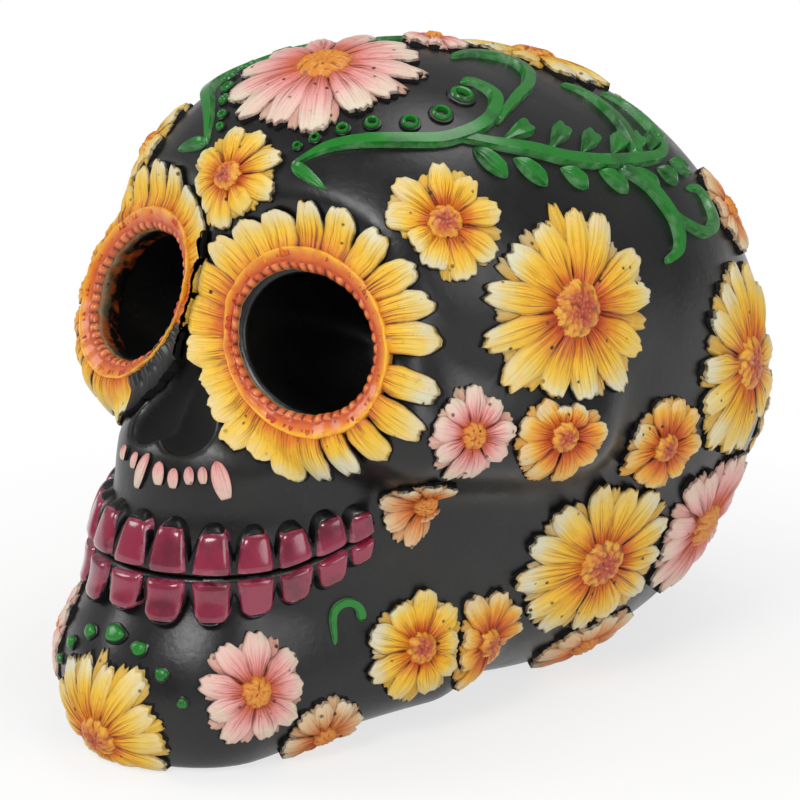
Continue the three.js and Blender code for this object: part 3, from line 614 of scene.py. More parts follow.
def skull_body():
    points, faces = net_surface(body_distance, BODY_LOW, BODY_HIGH, BODY_STEP)
    points = to_surface(body_distance, points, turns=2, least_slope=0.3)
    points[:, 2] = np.maximum(points[:, 2], 0)
    # How deep a point lies in the nose hollow: the black paint darkens it there, as painted shade.
    near_nose = nose_distance(points) < NOSE_EDGE + BODY_STEP
    nose_shade_share = clamp(-skin_distance(points) / NOSE_SHADE_DEPTH) * near_nose
    shape = Shape()
    shape.add(points, faces.tolist(), nose_shade_share[:, None] * (1, 0, 0))
    shape.build("skull", [BLACK], "black_paint", ["skull_body"], sharp_degrees=0)


# Petals

PETAL_ROWS, PETAL_COLUMNS = 12, 15
PETAL_RELIEF, GROOVE_DEPTH, CURL = 1.3, 0.34, 0.25
# Walls under a petal: shares of the border's height, and levels
PETAL_WALLS = ((0.62, 0), (0, -0.5))


def add_petal(shape, place, turn, inner, reach, half_width, layer, rng, paint=0, lobes=2.4, foot=0.42):
    """One petal: a grooved leaf with a ragged tip, and walls that go down into the skin."""
    along, across = shares(PETAL_ROWS, PETAL_COLUMNS)
    along = along ** 0.85
    own = rng.random()
    # Back-layer petals get an own value below 0, which their paint turns into painted shade.
    own = own if layer > 0 else own - 1
    ragged = 0.026 * np.sin(across * math.pi * lobes + own * 9)
    ragged = ragged + 0.008 * rng.standard_normal(PETAL_COLUMNS)
    ends = inner + (reach - inner) * (0.98 - 0.2 * np.abs(across) ** 4.5 + ragged)
    widening = clamp(along / 0.62)
    width = half_width * (foot + (1 - foot) * widening * widening * (3 - 2 * widening))
    width = width * (1 - 0.12 * clamp((along - 0.75) / 0.25) ** 2)
    width = width * (1 + 0.05 * np.sin(along * 9 + own * 20))
    out = inner + (ends - inner) * along
    side = across * width + half_width * 0.12 * (own - 0.5) * along
    grooves = 0.5 + 0.5 * np.cos(across * math.pi * (3.6 + own) + own * 5)
    height = layer + PETAL_RELIEF * (1 - 0.5 * across ** 2)
    height = height - GROOVE_DEPTH * grooves * (1 - 0.6 * along)
    height = height + CURL * (np.sin(along * math.pi) - clamp((along - 0.8) / 0.2))
    cos, sin = math.cos(turn), math.sin(turn)
    add_relief(shape, place, (out * cos - side * sin, out * sin + side * cos, height),
               (along, across, own), PETAL_WALLS, (paint, paint, 1))


def add_button(shape, place, radius, grains, rng):
    """The middle of a flower: a dome covered in grains."""
    rows, columns = (9, 40) if grains < 50 else (13, 60)
    share = np.linspace(0, 1, rows)[1:, None]
    angle = 2 * math.pi * np.arange(columns)[None, :] / columns
    rings = np.stack((share * np.cos(angle), share * np.sin(angle)), axis=-1).reshape(-1, 2)
    flat = np.concatenate((np.zeros((1, 2)), rings))
    seed = np.arange(grains)
    spread = np.sqrt((seed + 0.5) / grains) * 0.97
    turn = seed * GOLDEN_TURN + rng.normal(0, 0.12, grains)
    seeds = np.stack((spread * np.cos(turn), spread * np.sin(turn)), axis=-1)
    near = length(flat[:, None] - seeds[None])
    grain = clamp(1 - (near.min(axis=1) * math.sqrt(grains) / 1.15) ** 2)
    out = length(flat)
    dome = (1 - out ** 4) * (0.78 + 0.22 * clamp(out / 0.6))
    height = BUTTON_EDGE + (BUTTON_RELIEF - BUTTON_EDGE) * dome + 0.42 * grain - 0.15
    values = np.stack((out, grain, rng.random(grains)[near.argmin(axis=1)]), axis=-1)
    edge = np.arange(-columns, 0)
    flat = radius * np.concatenate((flat, flat[edge] * 1.04))
    points = place(*flat.T, np.concatenate((height, np.full(columns, -0.5))))
    faces = [[0, 1 + at, 1 + (at + 1) % columns] for at in range(columns)]
    faces += [[1 + at for at in face] for face in grid_faces(rows, columns, closed=True)]
    faces.append([len(flat) - 1 - at for at in range(columns)])
    shape.add(points, faces, np.concatenate((values, values[edge])), 2)


# Flowers: class, bearing round the head from the face, tilt above the level, size as a share
# of its class, paint, and how far up a flower cut short by an edge above it reaches
FLOWERS = {
    "crown_flower": ("large", 0, 66, 1.04, "pink"),
    "forehead_flower": ("small", 0, 41, 0.95, "yellow"),
    "chin_flower": ("large", 0, -32, 0.8, "yellow"),
    "top_flower": ("small", 180, 88, 0.6, "pink"),
    "top_rear_flower": ("large", 180, 60, 0.92, "yellow"),
    "back_top_flower": ("small", 180, 34, 0.9, "peach"),
    "back_flower": ("large", 180, 3, 0.92, "yellow"),
    "back_low_flower": ("small", 180, -26, 1.0, "pink"),
}
SIDE_FLOWERS = {
    "temple_flower": ("small", 47, 38, 1.05, "yellow"),
    "side_flower": ("large", 74, 23, 1.05, "yellow"),
    "pink_temple_flower": ("small", 51, 3, 0.82, "pink"),
    "ear_flower": ("small", 69, 0, 0.95, "orange"),
    "rear_ear_flower": ("small", 100, -10, 0.95, "orange"),
    "low_side_flower": ("large", 91, -36, 0.98, "yellow"),
    "rear_side_flower": ("large", 126, 0, 1.04, "yellow"),
    "upper_rear_flower": ("small", 144, 23, 0.85, "peach"),
    "low_rear_flower": ("large", 125, -31, 0.9, "pink"),
    "base_flower": ("small", 104, -57, 1.0, "peach"),
    "under_cheek_flower": ("small", 43, -13, 0.8, "peach"),
    "jaw_angle_flower": ("small", 42, -39, 1.0, "yellow"),
    "back_side_flower": ("small", 153, -15, 0.9, "orange"),
    "neck_flower": ("small", 58, -46, 0.95, "orange"),
    "jaw_flower": ("small", 19, -30, 0.95, "pink"),
    "jaw_edge_flower": ("small", 25, -42, 0.8, "peach"),
}
UP_SHARES = {"under_cheek_flower": 0.3}
RADII = {"large": 17.5, "small": 10.5}
PETALS_ROUND = {"large": 13, "small": 9}
GRAINS = {"large": 95, "small": 46}
BUTTON_SHARE, BUTTON_EDGE, BUTTON_RELIEF, GOLDEN_TURN = 0.29, 1.3, 2.5, 2.39996
# Layers of petals: level, turn in petals, half width as a share of a petal's arc, length
PETAL_LAYERS = ((-0.3, 0.5, 0.24, 0.95), (0.5, 0.0, 0.335, 1.0))
SIDE_GAP, EYE_FLOWER_RADIUS = 0.1, 25.5
LANDING_HEIGHT, MOST_DROP, BASE_CLEARANCE = 28.0, 14.0, 0.4

Flower = namedtuple("Flower", "kind centre normal across up radius paint up_share")


def flower_frame(bearing, tilt):
    centre = skin_at([(bearing, tilt)])[0]
    normal = skin_normal(centre[None])[0]
    guide = (0, 1, 0) if abs(normal[2]) > abs(normal[1]) else (0, 0, 1)
    across = unit(np.cross(guide, normal))
    return centre, normal, across, np.cross(normal, across)


def flower_place(centre, normal, across, up):
    """Places points of a flower's own plane at heights over the skin below them."""
    def place(flat_x, flat_y, height):
        starts = centre + flat_x[:, None] * across + flat_y[:, None] * up + LANDING_HEIGHT * normal
        points = march(starts, -normal, LANDING_HEIGHT + MOST_DROP) + normal * height[:, None]
        points[:, 2] = np.maximum(points[:, 2], BASE_CLEARANCE)
        return points
    return place


def all_flowers():
    flowers = {}
    for table, sides in ((FLOWERS, (("", 1),)), (SIDE_FLOWERS, SIDES)):
        for (name, row), (word, side) in product(table.items(), sides):
            kind, bearing, tilt, share, paint = row
            flowers[f"{name}_{word}".strip("_")] = Flower(
                kind, *flower_frame(side * bearing, tilt), RADII[kind] * share, paint,
                UP_SHARES.get(name))
    return flowers


def flower_limits(flower, flowers):
    """Flat limits that keep a flower off its neighbours and the eye flowers."""
    others = [(other.centre, other.radius) for other in flowers if other is not flower]
    others += [(EYE_CENTRE * (side, 1, 1), EYE_FLOWER_RADIUS) for _, side in SIDES]
    limits = []
    for place, reach in others:
        toward = place - flower.centre
        apart = length(toward)
        if apart < flower.radius + reach + SIDE_GAP:
            share = (apart ** 2 + flower.radius ** 2 - reach ** 2) / (2 * apart)
            limits.append((toward / apart, share - SIDE_GAP))
    if flower.up_share is not None:
        limits.append((flower.up, flower.radius * flower.up_share))
    return limits


def allowed_reach(flower, place, limits, wanted, turn):
    reaches = wanted * np.linspace(1, 0.3, 15)
    points = place(reaches * math.cos(turn), reaches * math.sin(turn), 0 * reaches)
    fits = points[:, 2] > BASE_CLEARANCE
    for direction, most in limits:
        fits &= (points - flower.centre) @ direction <= most
    return reaches[fits.argmax()] if fits.any() else 0.0


def dress_flowers():
    flowers = all_flowers()
    for number, (name, flower) in enumerate(flowers.items()):
        rng = np.random.default_rng(100 + number)
        place = flower_place(flower.centre, flower.normal, flower.across, flower.up)
        limits = flower_limits(flower, flowers.values())
        shape = Shape()
        petals = PETALS_ROUND[flower.kind]
        arc = 2 * math.pi / petals
        inner = flower.radius * BUTTON_SHARE * 0.85
        for (layer, offset, widths, lengths), petal in product(PETAL_LAYERS, range(petals)):
            turn = (petal + offset) * arc + rng.normal(0, 0.05)
            wanted = flower.radius * lengths * (1 + rng.uniform(-0.11, 0.06))
            reach = allowed_reach(flower, place, limits, wanted, turn)
            if reach >= inner * 1.5:
                half = flower.radius * arc * widths * (1 + rng.uniform(-0.1, 0.12))
                add_petal(shape, place, turn, inner, reach, half, layer, rng)
        add_button(shape, place, flower.radius * BUTTON_SHARE, GRAINS[flower.kind], rng)
        button = GOLD_BUTTON if flower.paint in ("pink", "peach") else RED_BUTTON
        shape.build(name.replace("flower", "bloom"), [PETALS[flower.paint], BLACK, button],
                    f"{flower.paint}_petals", [name])


# Eyes: petals and rim in the plane of the eye

RIM_FOOT, PETAL_UNDERLAP = 16.1, 1.2
EYE_PETAL_FALL, EYE_FALL_RADIUS = 7.0, 24.2
EYE_PETAL_HALF, EYE_PETAL_LEVEL, UNEVEN = 2.75, 0.45, 0.25
EYE_PETALS = (
    (10, 23.8), (26, 24.6), (40, 25.4), (56, 25.2), (73, 25.0), (89, 24.2), (107, 22.7),
    (124, 22.9), (141, 23.4), (159, 27.6), (176, 27.0), (192, 23.6), (207, 22.6), (220, 23.3),
    (233, 24.6), (246, 23.4), (259, 24.6), (273, 23.4), (290, 22.6), (309, 22.6), (328, 24.0),
    (347, 23.8))
# Over the nose the far eye's petals are black, and the two rings part a little off the middle
BLACK_PETALS = (188, 240)
BRIDGE_SHIFT, EYE_SPACE = 2.2, 0.3


def eye_plane(flat_x, flat_y):
    return EYE_CENTRE + flat_x[..., None] * EYE_ACROSS + flat_y[..., None] * EYE_UP


def eye_place(side):
    def place(flat_x, flat_y, height):
        fall = np.maximum(np.hypot(flat_x, flat_y) - RIM_FOOT, 0) / (EYE_FALL_RADIUS - RIM_FOOT)
        start = eye_plane(flat_x, flat_y)
        plate = start - EYE_OUT * (EYE_PETAL_FALL * fall ** 2)[:, None]
        skin = march(start + LANDING_HEIGHT * EYE_OUT, -EYE_OUT, LANDING_HEIGHT + MOST_DROP)
        behind = ((skin - plate) @ EYE_OUT)[:, None] < 0
        points = np.where(behind, plate, skin) + EYE_OUT * height[:, None]
        least = BRIDGE_SHIFT + EYE_SPACE if side < 0 else -BRIDGE_SHIFT
        points[:, 0] = np.maximum(points[:, 0], least)
        return points * (side, 1, 1)
    return place


def dress_eyes():
    for word, side in SIDES:
        rng = np.random.default_rng(40)
        place = eye_place(side)
        shape = Shape()
        for turn, reach in EYE_PETALS:
            wider = 0.5 if math.cos(math.radians(turn)) < 0 else 0
            half = EYE_PETAL_HALF + UNEVEN * rng.uniform(-1, 1) + wider
            level = UNEVEN * rng.random() + EYE_PETAL_LEVEL
            over_nose = side < 0 and BLACK_PETALS[0] < turn < BLACK_PETALS[1]
            add_petal(shape, place, math.radians(turn), RIM_FOOT - PETAL_UNDERLAP, reach, half,
                      level, rng, int(over_nose), lobes=1.8, foot=0.8)
        shape.build(f"eye_bloom_{word}", [PETALS["yellow"], BLACK], "yellow_petals",
                    [f"eye_flower_{word}"], turned_over=side < 0)
        dress_rim(side, word)


RIM_BEADS, BEAD_STATIONS = 44, 8
# Across the rim, from the petals in: radius, height, and how far a bead swells it in and up
RIM_PROFILE = (
    (16.5, 0.2, 0, 0), (16.4, 1.7, 0, 0), (16.25, 2.1, 0, 0), (16.05, 2.2, 0, 0), (15.85, 2.05, 0, 0),
    (15.6, 1.85, 0, 0), (15.2, 1.75, 0, 0), (14.7, 1.5, 0, 0), (14.3, 1.3, 0, 0.02), (14.0, 1.2, 0, 0.25),
    (13.75, 1.1, -0.03, 0.38), (13.4, 0.8, -0.16, 0.36), (13.15, 0.4, -0.25, 0.16), (13.0, 0.0, -0.15, 0),
    (12.95, -1.0, 0, 0), (12.85, -2.4, 0, 0), (12.8, -4.0, 0, 0), (13.3, -4.6, 0, 0), (14.2, -3.0, 0, 0),
    (14.8, -1.0, 0, 0))
RIM_FLATTEN = 0.06
OPENING_WIDENING = 1.3


def dress_rim(side, word):
    stations, columns = RIM_BEADS * BEAD_STATIONS, len(RIM_PROFILE)
    angle = 2 * math.pi * np.arange(stations)[:, None] / stations
    reach, level, swell_in, swell_up = np.array(RIM_PROFILE).T
    drift = 0.35 * np.sin(angle * 3) + 0.25 * np.sin(angle * 7 + 1)
    swell = np.abs(np.sin(angle * RIM_BEADS / 2 + drift)) ** 0.7
    swell = swell * (0.85 + 0.15 * np.sin(angle * 13))
    wander = 0.16 * np.sin(angle * 5 + 1) + 0.14 * np.sin(angle * 11 + 2) + 0.1 * np.sin(angle * 23)
    inner = clamp((16.3 - reach) / 3.3)
    radius = (reach + swell_in * swell) * (1 - RIM_FLATTEN * inner * np.sin(angle) ** 2)
    radius = radius + OPENING_WIDENING * inner * np.maximum(-np.cos(angle), 0)
    radius = radius + 0.6 * wander * np.cos(angle * 2)
    height = level + swell_up * swell + wander * clamp(level / 2.7)
    points = eye_plane(radius * np.cos(angle), radius * np.sin(angle)) + height[..., None] * EYE_OUT
    along = clamp(np.arange(columns) / (columns - 4))
    bead = (swell_up > 0.15) * swell
    values = np.stack(np.broadcast_arrays(along, bead, angle / 7), axis=-1)
    shape = Shape()
    shape.add((points * (side, 1, 1)).reshape(-1, 3),
              grid_faces(stations, columns, closed=True, looped=True), values.reshape(-1, 3))
    shape.build(f"eye_rope_{word}", [RIM], "orange_rim", [f"eye_rim_{word}"], sharp_degrees=0,
                turned_over=side < 0)


# Teeth: middle of each one in degrees round the mouth, and half its width in degrees
TEETH = (
    (0.0, 9.3), (18.55, 9.25), (36.75, 8.95), (54.45, 8.75), (70.95, 7.75), (85.1, 6.4), (95.5, 4.0))
# Rows: which way the roots point, heights from the middle out, narrowing and rounding at the root
TOOTH_ROWS = {
    "upper": (1, (8.6, 8.5, 7.9, 7.1, 6.4, 6.2, 4.9), 0.24, 0.5),
    "lower": (-1, (6.8, 7.8, 7.6, 7.0, 6.3, 5.8, 4.0), 0.2, 0.82),
}
BITE_LEVEL, BITE_RISE, BITE_POWER, LAST_TOOTH = 35.6, 5.4, 4, 99.5
TOOTH_RELIEF, TOOTH_FOOT, BITE_GAP, TOOTH_GAP_DEGREES = 2.3, -0.3, 0.6, 0.12
GUM_RELIEF, GUM_FOOT, GUM_MARGIN, GUM_END = 1.25, -0.4, 1.15, 101
GUM_COLUMNS, GUM_BOTTOM = 420, -0.8
MOUTH_REACH, MOUTH_TURNS = 80.0, 60


def mouth_place(angle, level, height):
    """Places points round the mouth at heights over the skin, by angle and level."""
    zero = np.zeros_like(angle)
    direction = np.stack((np.sin(angle), -np.cos(angle), zero), axis=-1)
    points = np.stack((zero, zero + MOUTH[1], level), axis=-1) + MOUTH_REACH * direction
    for _ in range(MOUTH_TURNS):
        gap = skin_distance(points) - height
        points = points - direction * (gap * STEP_SHARE)[:, None]
    return points


def bite_at(angle_degrees):
    return BITE_LEVEL + BITE_RISE * (np.abs(angle_degrees) / LAST_TOOTH) ** BITE_POWER


def mirrored(number):
    """The first of a row stands in the middle, the others have a mirror image."""
    return (1, -1) if number else (1,)


def add_tooth(shape, angle, half, tall, towards, narrowing, rounding, rng):
    root, across = shares(14, 13)
    corner = clamp((root - 0.7) / 0.3) ** 2.6
    width = half * (1 - narrowing * root ** 1.1) * np.sqrt(1 - corner * rounding)
    skew = 0.14 * (rng.random() - 0.5)
    angles = angle + across * width + skew * root * half
    wave = 0.3 * math.sin(rng.random() * 9) * across
    levels = bite_at(angles) + towards * (BITE_GAP / 2 + tall * root) + wave * (1 - root)
    middle = np.abs(2 * root - 1)
    edge = (1 - np.abs(across) ** 8) ** 0.5 * (1 - middle ** 9) ** 0.45
    bulge = edge * (1.1 - 0.24 * root) * (1 - 0.12 * across ** 2)
    # rim is nearness to the tooth's edges, where the enamel takes the painted highlight.
    rim = 0.98 * np.maximum(np.abs(across), middle)
    add_relief(shape, mouth_place,
               (np.radians(angles), levels, TOOTH_FOOT + (TOOTH_RELIEF - TOOTH_FOOT) * bulge),
               (rim, root, rng.random()))


def gum_reach(angles, heights):
    """How far the gum reaches past the bite: an arch over each root."""
    reach = np.zeros_like(angles)
    for number, (angle, half) in enumerate(TEETH):
        for side in mirrored(number):
            share = clamp(np.abs(angles - side * angle) / (half + 0.6))
            reach = np.maximum(reach, (heights[number] + GUM_MARGIN) * (1 - share ** 2.6) ** 0.55)
    return reach


def add_gum(shape, towards, heights):
    angles = np.linspace(-GUM_END, GUM_END, GUM_COLUMNS)
    reach = gum_reach(angles, heights) + 0.01
    out = np.concatenate((np.linspace(0, 0.75, 10), np.linspace(0.8, 1, 8)))[:, None]
    gap = reach * (1 - out)
    height = GUM_FOOT + (GUM_RELIEF - GUM_FOOT) * clamp(gap / 1.1) ** 0.5
    height = height * clamp(reach / 2.5) ** 0.5 - 0.5 * clamp(1 - out * reach / 0.5)
    height = height + 0.35 * np.exp(-((gap - 0.9) / 0.5) ** 2)
    levels = bite_at(angles) + towards * (0.12 + reach * out)
    add_relief(shape, mouth_place, (np.radians(angles), levels, height), (0, 0, 0),
               ((0, GUM_BOTTOM),), (0, 0))


def dress_teeth():
    for word, (towards, heights, *form) in TOOTH_ROWS.items():
        teeth, gum = Shape(), Shape()
        rng = np.random.default_rng(5)
        for number, (angle, half) in enumerate(TEETH):
            for side in mirrored(number):
                add_tooth(teeth, side * angle, half - TOOTH_GAP_DEGREES, heights[number], towards,
                          *form, rng)
        add_gum(gum, towards, heights)
        upper = towards > 0
        teeth.build(f"{word}_tooth_row", [BURGUNDY], "burgundy_teeth", [f"{word}_teeth"],
                    turned_over=upper)
        gum.build(f"{word}_gum", [BLACK], "black_paint", turned_over=upper)


# Vines

def smooth_path(knots, spacing):
    """An even run of points on a curve through the knots."""
    padded = np.concatenate((2 * knots[:1] - knots[1:2], knots, 2 * knots[-1:] - knots[-2:-1]))
    share = np.linspace(0, 1, 24, endpoint=False)[:, None]
    curves = [b + share / 2 * (c - a + share * (
        2 * a - 5 * b + 4 * c - d + share * (3 * b - a - 3 * c + d)))
              for a, b, c, d in zip(padded, padded[1:], padded[2:], padded[3:])]
    path = np.concatenate((*curves, knots[-1:]))
    run = np.concatenate(([0], np.cumsum(length(np.diff(path, axis=0)))))
    even = np.linspace(0, run[-1], max(4, round(run[-1] / spacing)))
    return np.stack([np.interp(even, run, path[:, axis]) for axis in range(3)], axis=-1)


def widths_along(count, stops, spacing, half):
    """Widths from foot to tip, smoothed, with round ends."""
    share = np.linspace(0, 1, count)
    widths = np.interp(share, np.linspace(0, 1, len(stops)), stops)
    kernel = np.hanning(7)[1:-1]
    widths = np.convolve(np.pad(widths, 2, mode="edge"), kernel / kernel.sum(), mode="valid")
    run = share * spacing * (count - 1)
    for distance in (run, run[-1] - run):
        near_end = 1 - clamp(distance / (half * 0.9))
        widths = widths * np.sqrt(np.maximum(1 - near_end ** 2, 0.02))
    return widths


STEM = {"half": 1.27, "relief": 1.6, "spacing": 0.6}
LEAF = {"half": 1.75, "relief": 1.5, "spacing": 0.5, "fuller": 0.15, "crease": 0.28}
STRAND_COLUMNS = 12


def add_strand(shape, knots, stops, own, half, relief, spacing, fuller=0.0, crease=0.0):
    """A raised strand through the knots, on the skin."""
    path = to_surface(skin_distance, smooth_path(knots, spacing), turns=4)
    widths = widths_along(len(path), stops, spacing, half)
    relief = relief * np.minimum(widths + fuller, 1)[:, None]
    normal = skin_normal(path)
    side = unit(np.cross(np.gradient(path, axis=0), normal))
    turn = np.linspace(-0.5, math.pi + 0.5, STRAND_COLUMNS)
    cos, sin = np.cos(turn), np.sin(turn)
    height = (np.minimum(1.7 * sin, 0.94 + 0.06 * sin) - crease * np.exp(-(cos / 0.25) ** 2)) * relief
    points = path[:, None] + (half * widths[:, None] * cos)[..., None] * side[:, None]
    points = points + height[..., None] * normal[:, None]
    # x is nearness to the strand's sides, where its enamel takes the painted highlight.
    values = np.broadcast_arrays(np.abs(cos), np.linspace(0, 1, len(path))[:, None], own)
    shape.add(points.reshape(-1, 3), stack_faces(len(path), STRAND_COLUMNS),
              np.stack(values, axis=-1).reshape(-1, 3))


# Routes of bearings and tilts over the skull, and widths from foot to tip
VINE_STRANDS = (
    (((13, 45), (20, 49), (28, 51), (38, 52), (48, 53), (58, 56), (66, 60), (72, 65), (67, 69), (60, 69)),
     (0.3, 0.8, 1.0, 1.0, 1.05, 1.1, 1.0, 0.55)),
    (((66, 58), (72, 61), (84, 65), (101, 68), (124, 71), (138, 75), (120, 81), (70, 80)),
     (0.6, 0.9, 1, 0.9, 0.45)),
    (((52, 54), (63, 53), (74, 52), (86, 50), (100, 48), (116, 45), (128, 42), (138, 42)),
     (0.7, 1.0, 1.1, 1.1, 1.0, 0.8)),
    (((134, 64), (136, 60), (133, 56), (127, 51), (118, 45)), (0.45, 0.8, 1, 1)),
    (((146, 55), (146, 51), (142, 47), (136, 42)), (0.45, 0.8, 1, 1)),
    (((106, 46), (112, 41), (114, 36), (114, 31), (111, 27), (105, 26)), (0.9, 1.1, 1, 0.5)),
    (((114, 35), (118, 30), (124, 26), (131, 26), (134, 31), (129, 34)), (0.6, 0.85, 0.9, 0.45)),
)
# Leaves: foot and tip, then widths from foot to tip
ROUND_LEAF, LONG_LEAF = (0.3, 0.4, 0.8, 1.1, 1.0), (0.3, 0.8, 1.05, 0.9, 0.35)
THIN_LEAF = (0.6, 0.75, 0.65, 0.45, 0.15)
VINE_LEAVES = (
    ((66, 54.2), (79, 57.6), ROUND_LEAF), ((82, 52.5), (95.5, 56.9), ROUND_LEAF),
    ((95, 51), (107.8, 53.6), ROUND_LEAF), ((109, 48.6), (120, 49.9), ROUND_LEAF),
    ((118.5, 46.3), (129, 47), ROUND_LEAF), ((128, 43.8), (136.4, 44), ROUND_LEAF),
    ((55.9, 52), (63.3, 46.5), LONG_LEAF), ((67, 50.4), (74.3, 45), LONG_LEAF),
    ((81.7, 48.4), (88.3, 43.8), LONG_LEAF), ((97, 46.8), (103.6, 40.8), LONG_LEAF),
    ((109.5, 44.4), (117.5, 38), LONG_LEAF), ((123, 41), (126, 35.9), LONG_LEAF),
    ((131.5, 39.5), (135.7, 34.2), LONG_LEAF), ((13.4, 45.2), (22.5, 42), THIN_LEAF),
)
# Ring dots: bearing, tilt, radius. Chin dots: bearing, tilt, half width, half height
RING_DOTS = (
    (12.6, 48.4, 0.75), (15.9, 50.4, 0.9), (21.8, 52.9, 1.1), (28.8, 54.9, 1.25), (39, 56, 1.45),
    (48.2, 58.9, 1.7), (57.2, 64.4, 2.0))
CHIN_DOTS = (
    (0.2, -23.2, 2.0, 1.6), (4.4, -24.0, 1.45, 1.25), (8.2, -26, 1.2, 1.15), (11.2, -28.6, 0.95, 0.9))
HOOK_PLACE, HOOK_RADIUS, HOOK_STEM, HOOK_STOPS = (29, -30), 2.8, 4.5, (0.3, 0.55, 0.62, 0.66)
HOOK_TURNS = (180, 150, 120, 90, 60, 30, 0, -25)
# Rings of a dot from the top down, as shares of its size, and heights: a collar and the paint on it
RING_COLLAR = ((0.2, 0.2), (1.1, 0.6), (1.35, 0.45), (1.45, -0.3))
RING_PAINT = ((0.52, 0.35), (0.66, 1.15), (0.87, 1.3), (1.05, 1.0), (1.12, 0.3))
DOT_COLLAR = ((0.39, 0.42), (1.04, 0.42), (1.261, 0.3), (1.3, -0.3))
DOT_PAINT = ((0.15, 1.21), (0.45, 1.188), (0.8, 1.1), (0.98, 0.825), (1, 0.2))
RING_COLUMNS, DOT_COLUMNS = 28, 24


def circle(columns):
    turns = 2 * math.pi * np.arange(columns) / columns
    return turns, np.cos(turns), np.sin(turns)


def add_mound(shape, place, across, up, profile, values, paint, top_paint):
    """Rings of points over the skin, from the top one down, closed at both ends."""
    points = [place(share * across, share * up, np.full(len(across), height))
              for share, height in profile]
    faces = stack_faces(len(profile), len(across))
    paints = [paint] * len(faces)
    paints[-2] = top_paint
    shape.add(np.concatenate(points), faces, values, paints)


def add_ring(shape, bearing, tilt, radius):
    """A ring of green paint in a black collar, with a hollow middle."""
    place = flower_place(*flower_frame(bearing, tilt))
    _, cos, sin = circle(RING_COLUMNS)
    rise = 0.6 + 0.4 * radius / 2
    for paint, profile in ((1, RING_COLLAR), (0, RING_PAINT)):
        risen = [(share, height * rise if height > 0 else height) for share, height in profile]
        add_mound(shape, place, radius * cos, radius * sin, risen, (0.3, 0, bearing % 1), paint, 1)


def add_dot(shape, bearing, tilt, width, height):
    """A dome of green paint in a black collar."""
    place = flower_place(*flower_frame(bearing, tilt))
    turns, cos, sin = circle(DOT_COLUMNS)
    uneven = 1 + 0.07 * np.sin(3 * turns + bearing * 7) + 0.04 * np.sin(5 * turns + bearing)
    for paint, profile in ((1, DOT_COLLAR), (0, DOT_PAINT)):
        add_mound(shape, place, width * cos * uneven, height * sin * uneven, profile,
                  (0.3, 0, 0.5), paint, paint)


def dress_vines():
    for word, side in SIDES:
        shape, hook = Shape(), Shape()
        for route, stops in VINE_STRANDS:
            knots = skin_at([(side * bearing, tilt) for bearing, tilt in route])
            add_strand(shape, knots, stops, 0.4, **STEM)
        for number, (*ends, stops) in enumerate(VINE_LEAVES):
            knots = skin_at([(side * bearing, tilt) for bearing, tilt in ends])
            add_strand(shape, knots, stops, (number % 5) / 5, **LEAF)
        for bearing, tilt, radius in RING_DOTS:
            add_ring(shape, side * bearing, tilt, radius)
        shape.build(f"vine_scroll_{word}", [GREEN, BLACK], "green_vines", [f"vine_{word}"])
        place = flower_place(*flower_frame(side * HOOK_PLACE[0], HOOK_PLACE[1]))
        turns = np.radians(HOOK_TURNS)
        knots_x = HOOK_RADIUS * np.concatenate(((-1, -1), np.cos(turns)))
        knots_y = np.concatenate(((-HOOK_STEM, -HOOK_STEM / 2), HOOK_RADIUS * np.sin(turns)))
        knots = place(side * knots_x, knots_y, np.zeros(len(knots_x)))
        add_strand(hook, knots, HOOK_STOPS, 0.6, **STEM)
        hook.build(f"jaw_hook_{word}", [GREEN, BLACK], "green_vines", [f"jaw_tendril_{word}"])


def dress_chin_dots():
    shape = Shape()
    for number, (bearing, tilt, width, height) in enumerate(CHIN_DOTS):
        for side in mirrored(number):
            add_dot(shape, side * bearing, tilt, width, height)
    shape.build("chin_dots", [GREEN, BLACK], "green_vines")


# Small petals in a row under the nose: foot and tip, then half the width
NOSE_PETALS = (
    ((-6, -2.8), (-6.1, -4.9), 0.96), ((-2.6, -2.8), (-3, -5.1), 0.96),
    ((-0.1, -2.3), (-1.8, -7.5), 1.2), ((2.2, -3), (2.4, -6.2), 1.28),
    ((4.7, -3.5), (4.8, -6.3), 1.06), ((6.8, -3.1), (7.2, -5.6), 0.96),
    ((8.6, -3), (9.1, -5.4), 0.88), ((10.2, -2.2), (12.2, -7.7), 1.6))


def dress_nose_petals():
    shape = Shape()
    rng = np.random.default_rng(3)
    along, across = shares(12, 9)
    outline = np.sqrt(np.maximum(1 - (2 * along - 1) ** 2 * (1 - 0.3 * along), 0.02))
    height = 1.15 * (1 - 0.45 * across ** 2) * (0.75 + 0.25 * np.sin(along * math.pi))
    height = height - 0.15 * (0.5 + 0.5 * np.cos(across * math.pi * 3))
    for foot, tip, half in NOSE_PETALS:
        ends = skin_at((foot, tip))
        middle, reach = ends.mean(axis=0), ends[1] - ends[0]
        normal = skin_normal(middle[None])[0]
        ahead = unit(reach - normal * (reach @ normal))
        place = flower_place(middle, normal, ahead, np.cross(normal, ahead))
        add_relief(shape, place, (length(reach) * (along - 0.5), across * half * outline, height),
                   (0.35 + 0.65 * along, across, rng.random()), ((0, -0.4),), (0, 1))
    shape.build("nose_petals", [PETALS["pink"], BLACK], "pink_petals")


# Studio

ROOM_LIGHT, FLOOR_HALF, FLOOR_COLOUR, FLOOR_ROUGHNESS = 0.32, 3.0, (0.9, 0.9, 0.9, 1), 0.9
# The floor is paler away from the skull: near and far distance, and how white it is at each
FLOOR_FADE = (0.07, 0.14, 0.72, 1.0)
LAMP_AIM = Vector((0, 0, 0.06))
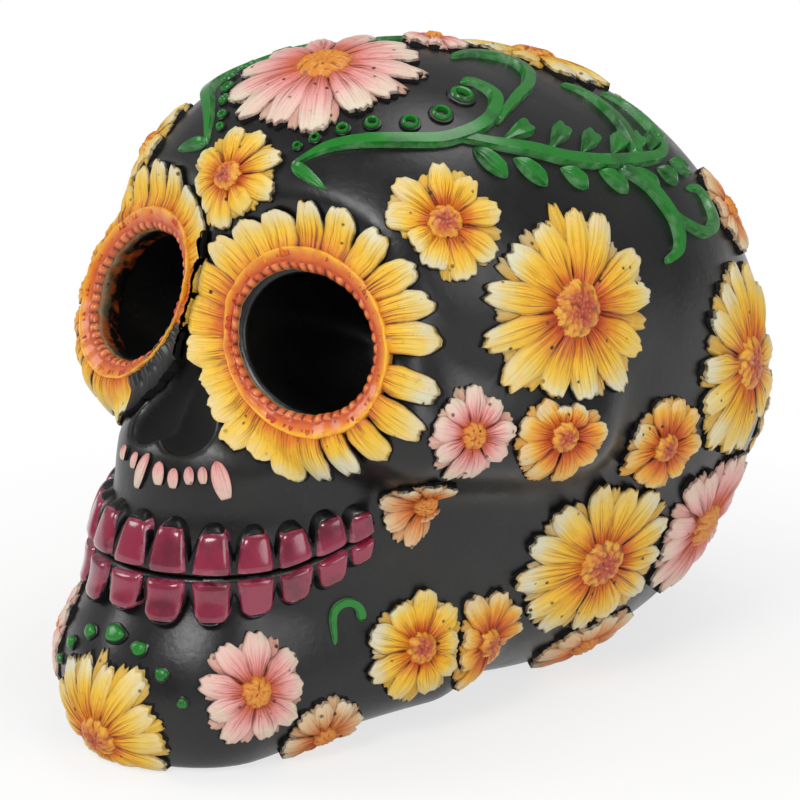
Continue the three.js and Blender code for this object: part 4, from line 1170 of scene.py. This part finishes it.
# Lamps: place, width and power
LAMPS = {
    "key": ((0.25, -0.75, 0.75), 0.4, 4.2),
    "fill": ((0.95, -0.1, 0.45), 0.6, 2.6),
    "rim": ((-0.6, -0.5, 0.5), 0.4, 2.0),
    "top": ((0.1, 0.3, 1.0), 0.6, 3.0),
}


def room():
    """A dim white room that looks plain white to the camera."""
    paint = Paint(bpy.data.worlds.new("studio"))
    seen = paint.node("ShaderNodeLightPath").outputs["Is Camera Ray"]
    dim, plain = [paint.node("ShaderNodeBackground", {"Color": paint.color, "Strength": strength})
                  for strength in (ROOM_LIGHT, 1.0)]
    mixed = paint.node("ShaderNodeMixShader", {0: seen, 1: dim.outputs[0], 2: plain.outputs[0]})
    paint.put(paint.tree.nodes["World Output"].inputs["Surface"], mixed.outputs[0])
    bpy.context.scene.world = paint.owner


def floor():
    half = FLOOR_HALF
    mesh = bpy.data.meshes.new("floor")
    mesh.from_pydata(
        [(-half, -half, 0), (half, -half, 0), (half, half, 0), (-half, half, 0)], [], [(0, 1, 2, 3)])
    linked("floor", mesh)
    paint = new_paint("pale_floor")
    paint.color = FLOOR_COLOUR
    mesh.materials.append(paint.finish(FLOOR_ROUGHNESS))
    rays = paint.node("ShaderNodeLightPath").outputs
    seen = paint.maths("MAXIMUM", rays["Is Camera Ray"], paint.maths(
        "MAXIMUM", rays["Is Glossy Ray"], rays["Is Transmission Ray"]))
    away = paint.node("ShaderNodeVectorMath", {0: paint.place()}, operation="LENGTH").outputs["Value"]
    white = paint.node("ShaderNodeEmission", {"Color": (1, 1, 1, 1), "Strength": 1.0})
    blended = paint.node("ShaderNodeMixShader", {
        0: paint.times(seen, paint.between(away, *FLOOR_FADE)),
        1: paint.tree.nodes["Principled BSDF"].outputs[0], 2: white.outputs[0]})
    paint.put(paint.tree.nodes["Material Output"].inputs["Surface"], blended.outputs[0])


def lamps():
    for name, (place, width, power) in LAMPS.items():
        data = bpy.data.lights.new(name, "AREA")
        data.shape = "DISK"
        data.size = width
        data.energy = power
        lamp = linked(name, data)
        lamp.location = place
        lamp.rotation_euler = (LAMP_AIM - Vector(place)).to_track_quat("-Z", "Y").to_euler()


def viewer():
    back = aim(VIEW_TURN_DEGREES, VIEW_TILT_DEGREES)
    data = bpy.data.cameras.new("camera")
    data.lens = VIEW_LENS
    data.shift_x, data.shift_y = VIEW_SHIFT
    data.clip_start, data.clip_end = 0.05, 20
    camera = linked("camera", data)
    camera.location = (VIEW_AIM + VIEW_DISTANCE * back) * MM
    camera.rotation_euler = Vector(back).to_track_quat("Z", "Y").to_euler()
    bpy.context.scene.camera = camera


bpy.context.scene.view_settings.view_transform = "Standard"
room()
floor()
lamps()
viewer()
skull_body()
dress_flowers()
dress_eyes()
dress_teeth()
dress_vines()
dress_chin_dots()
dress_nose_petals()
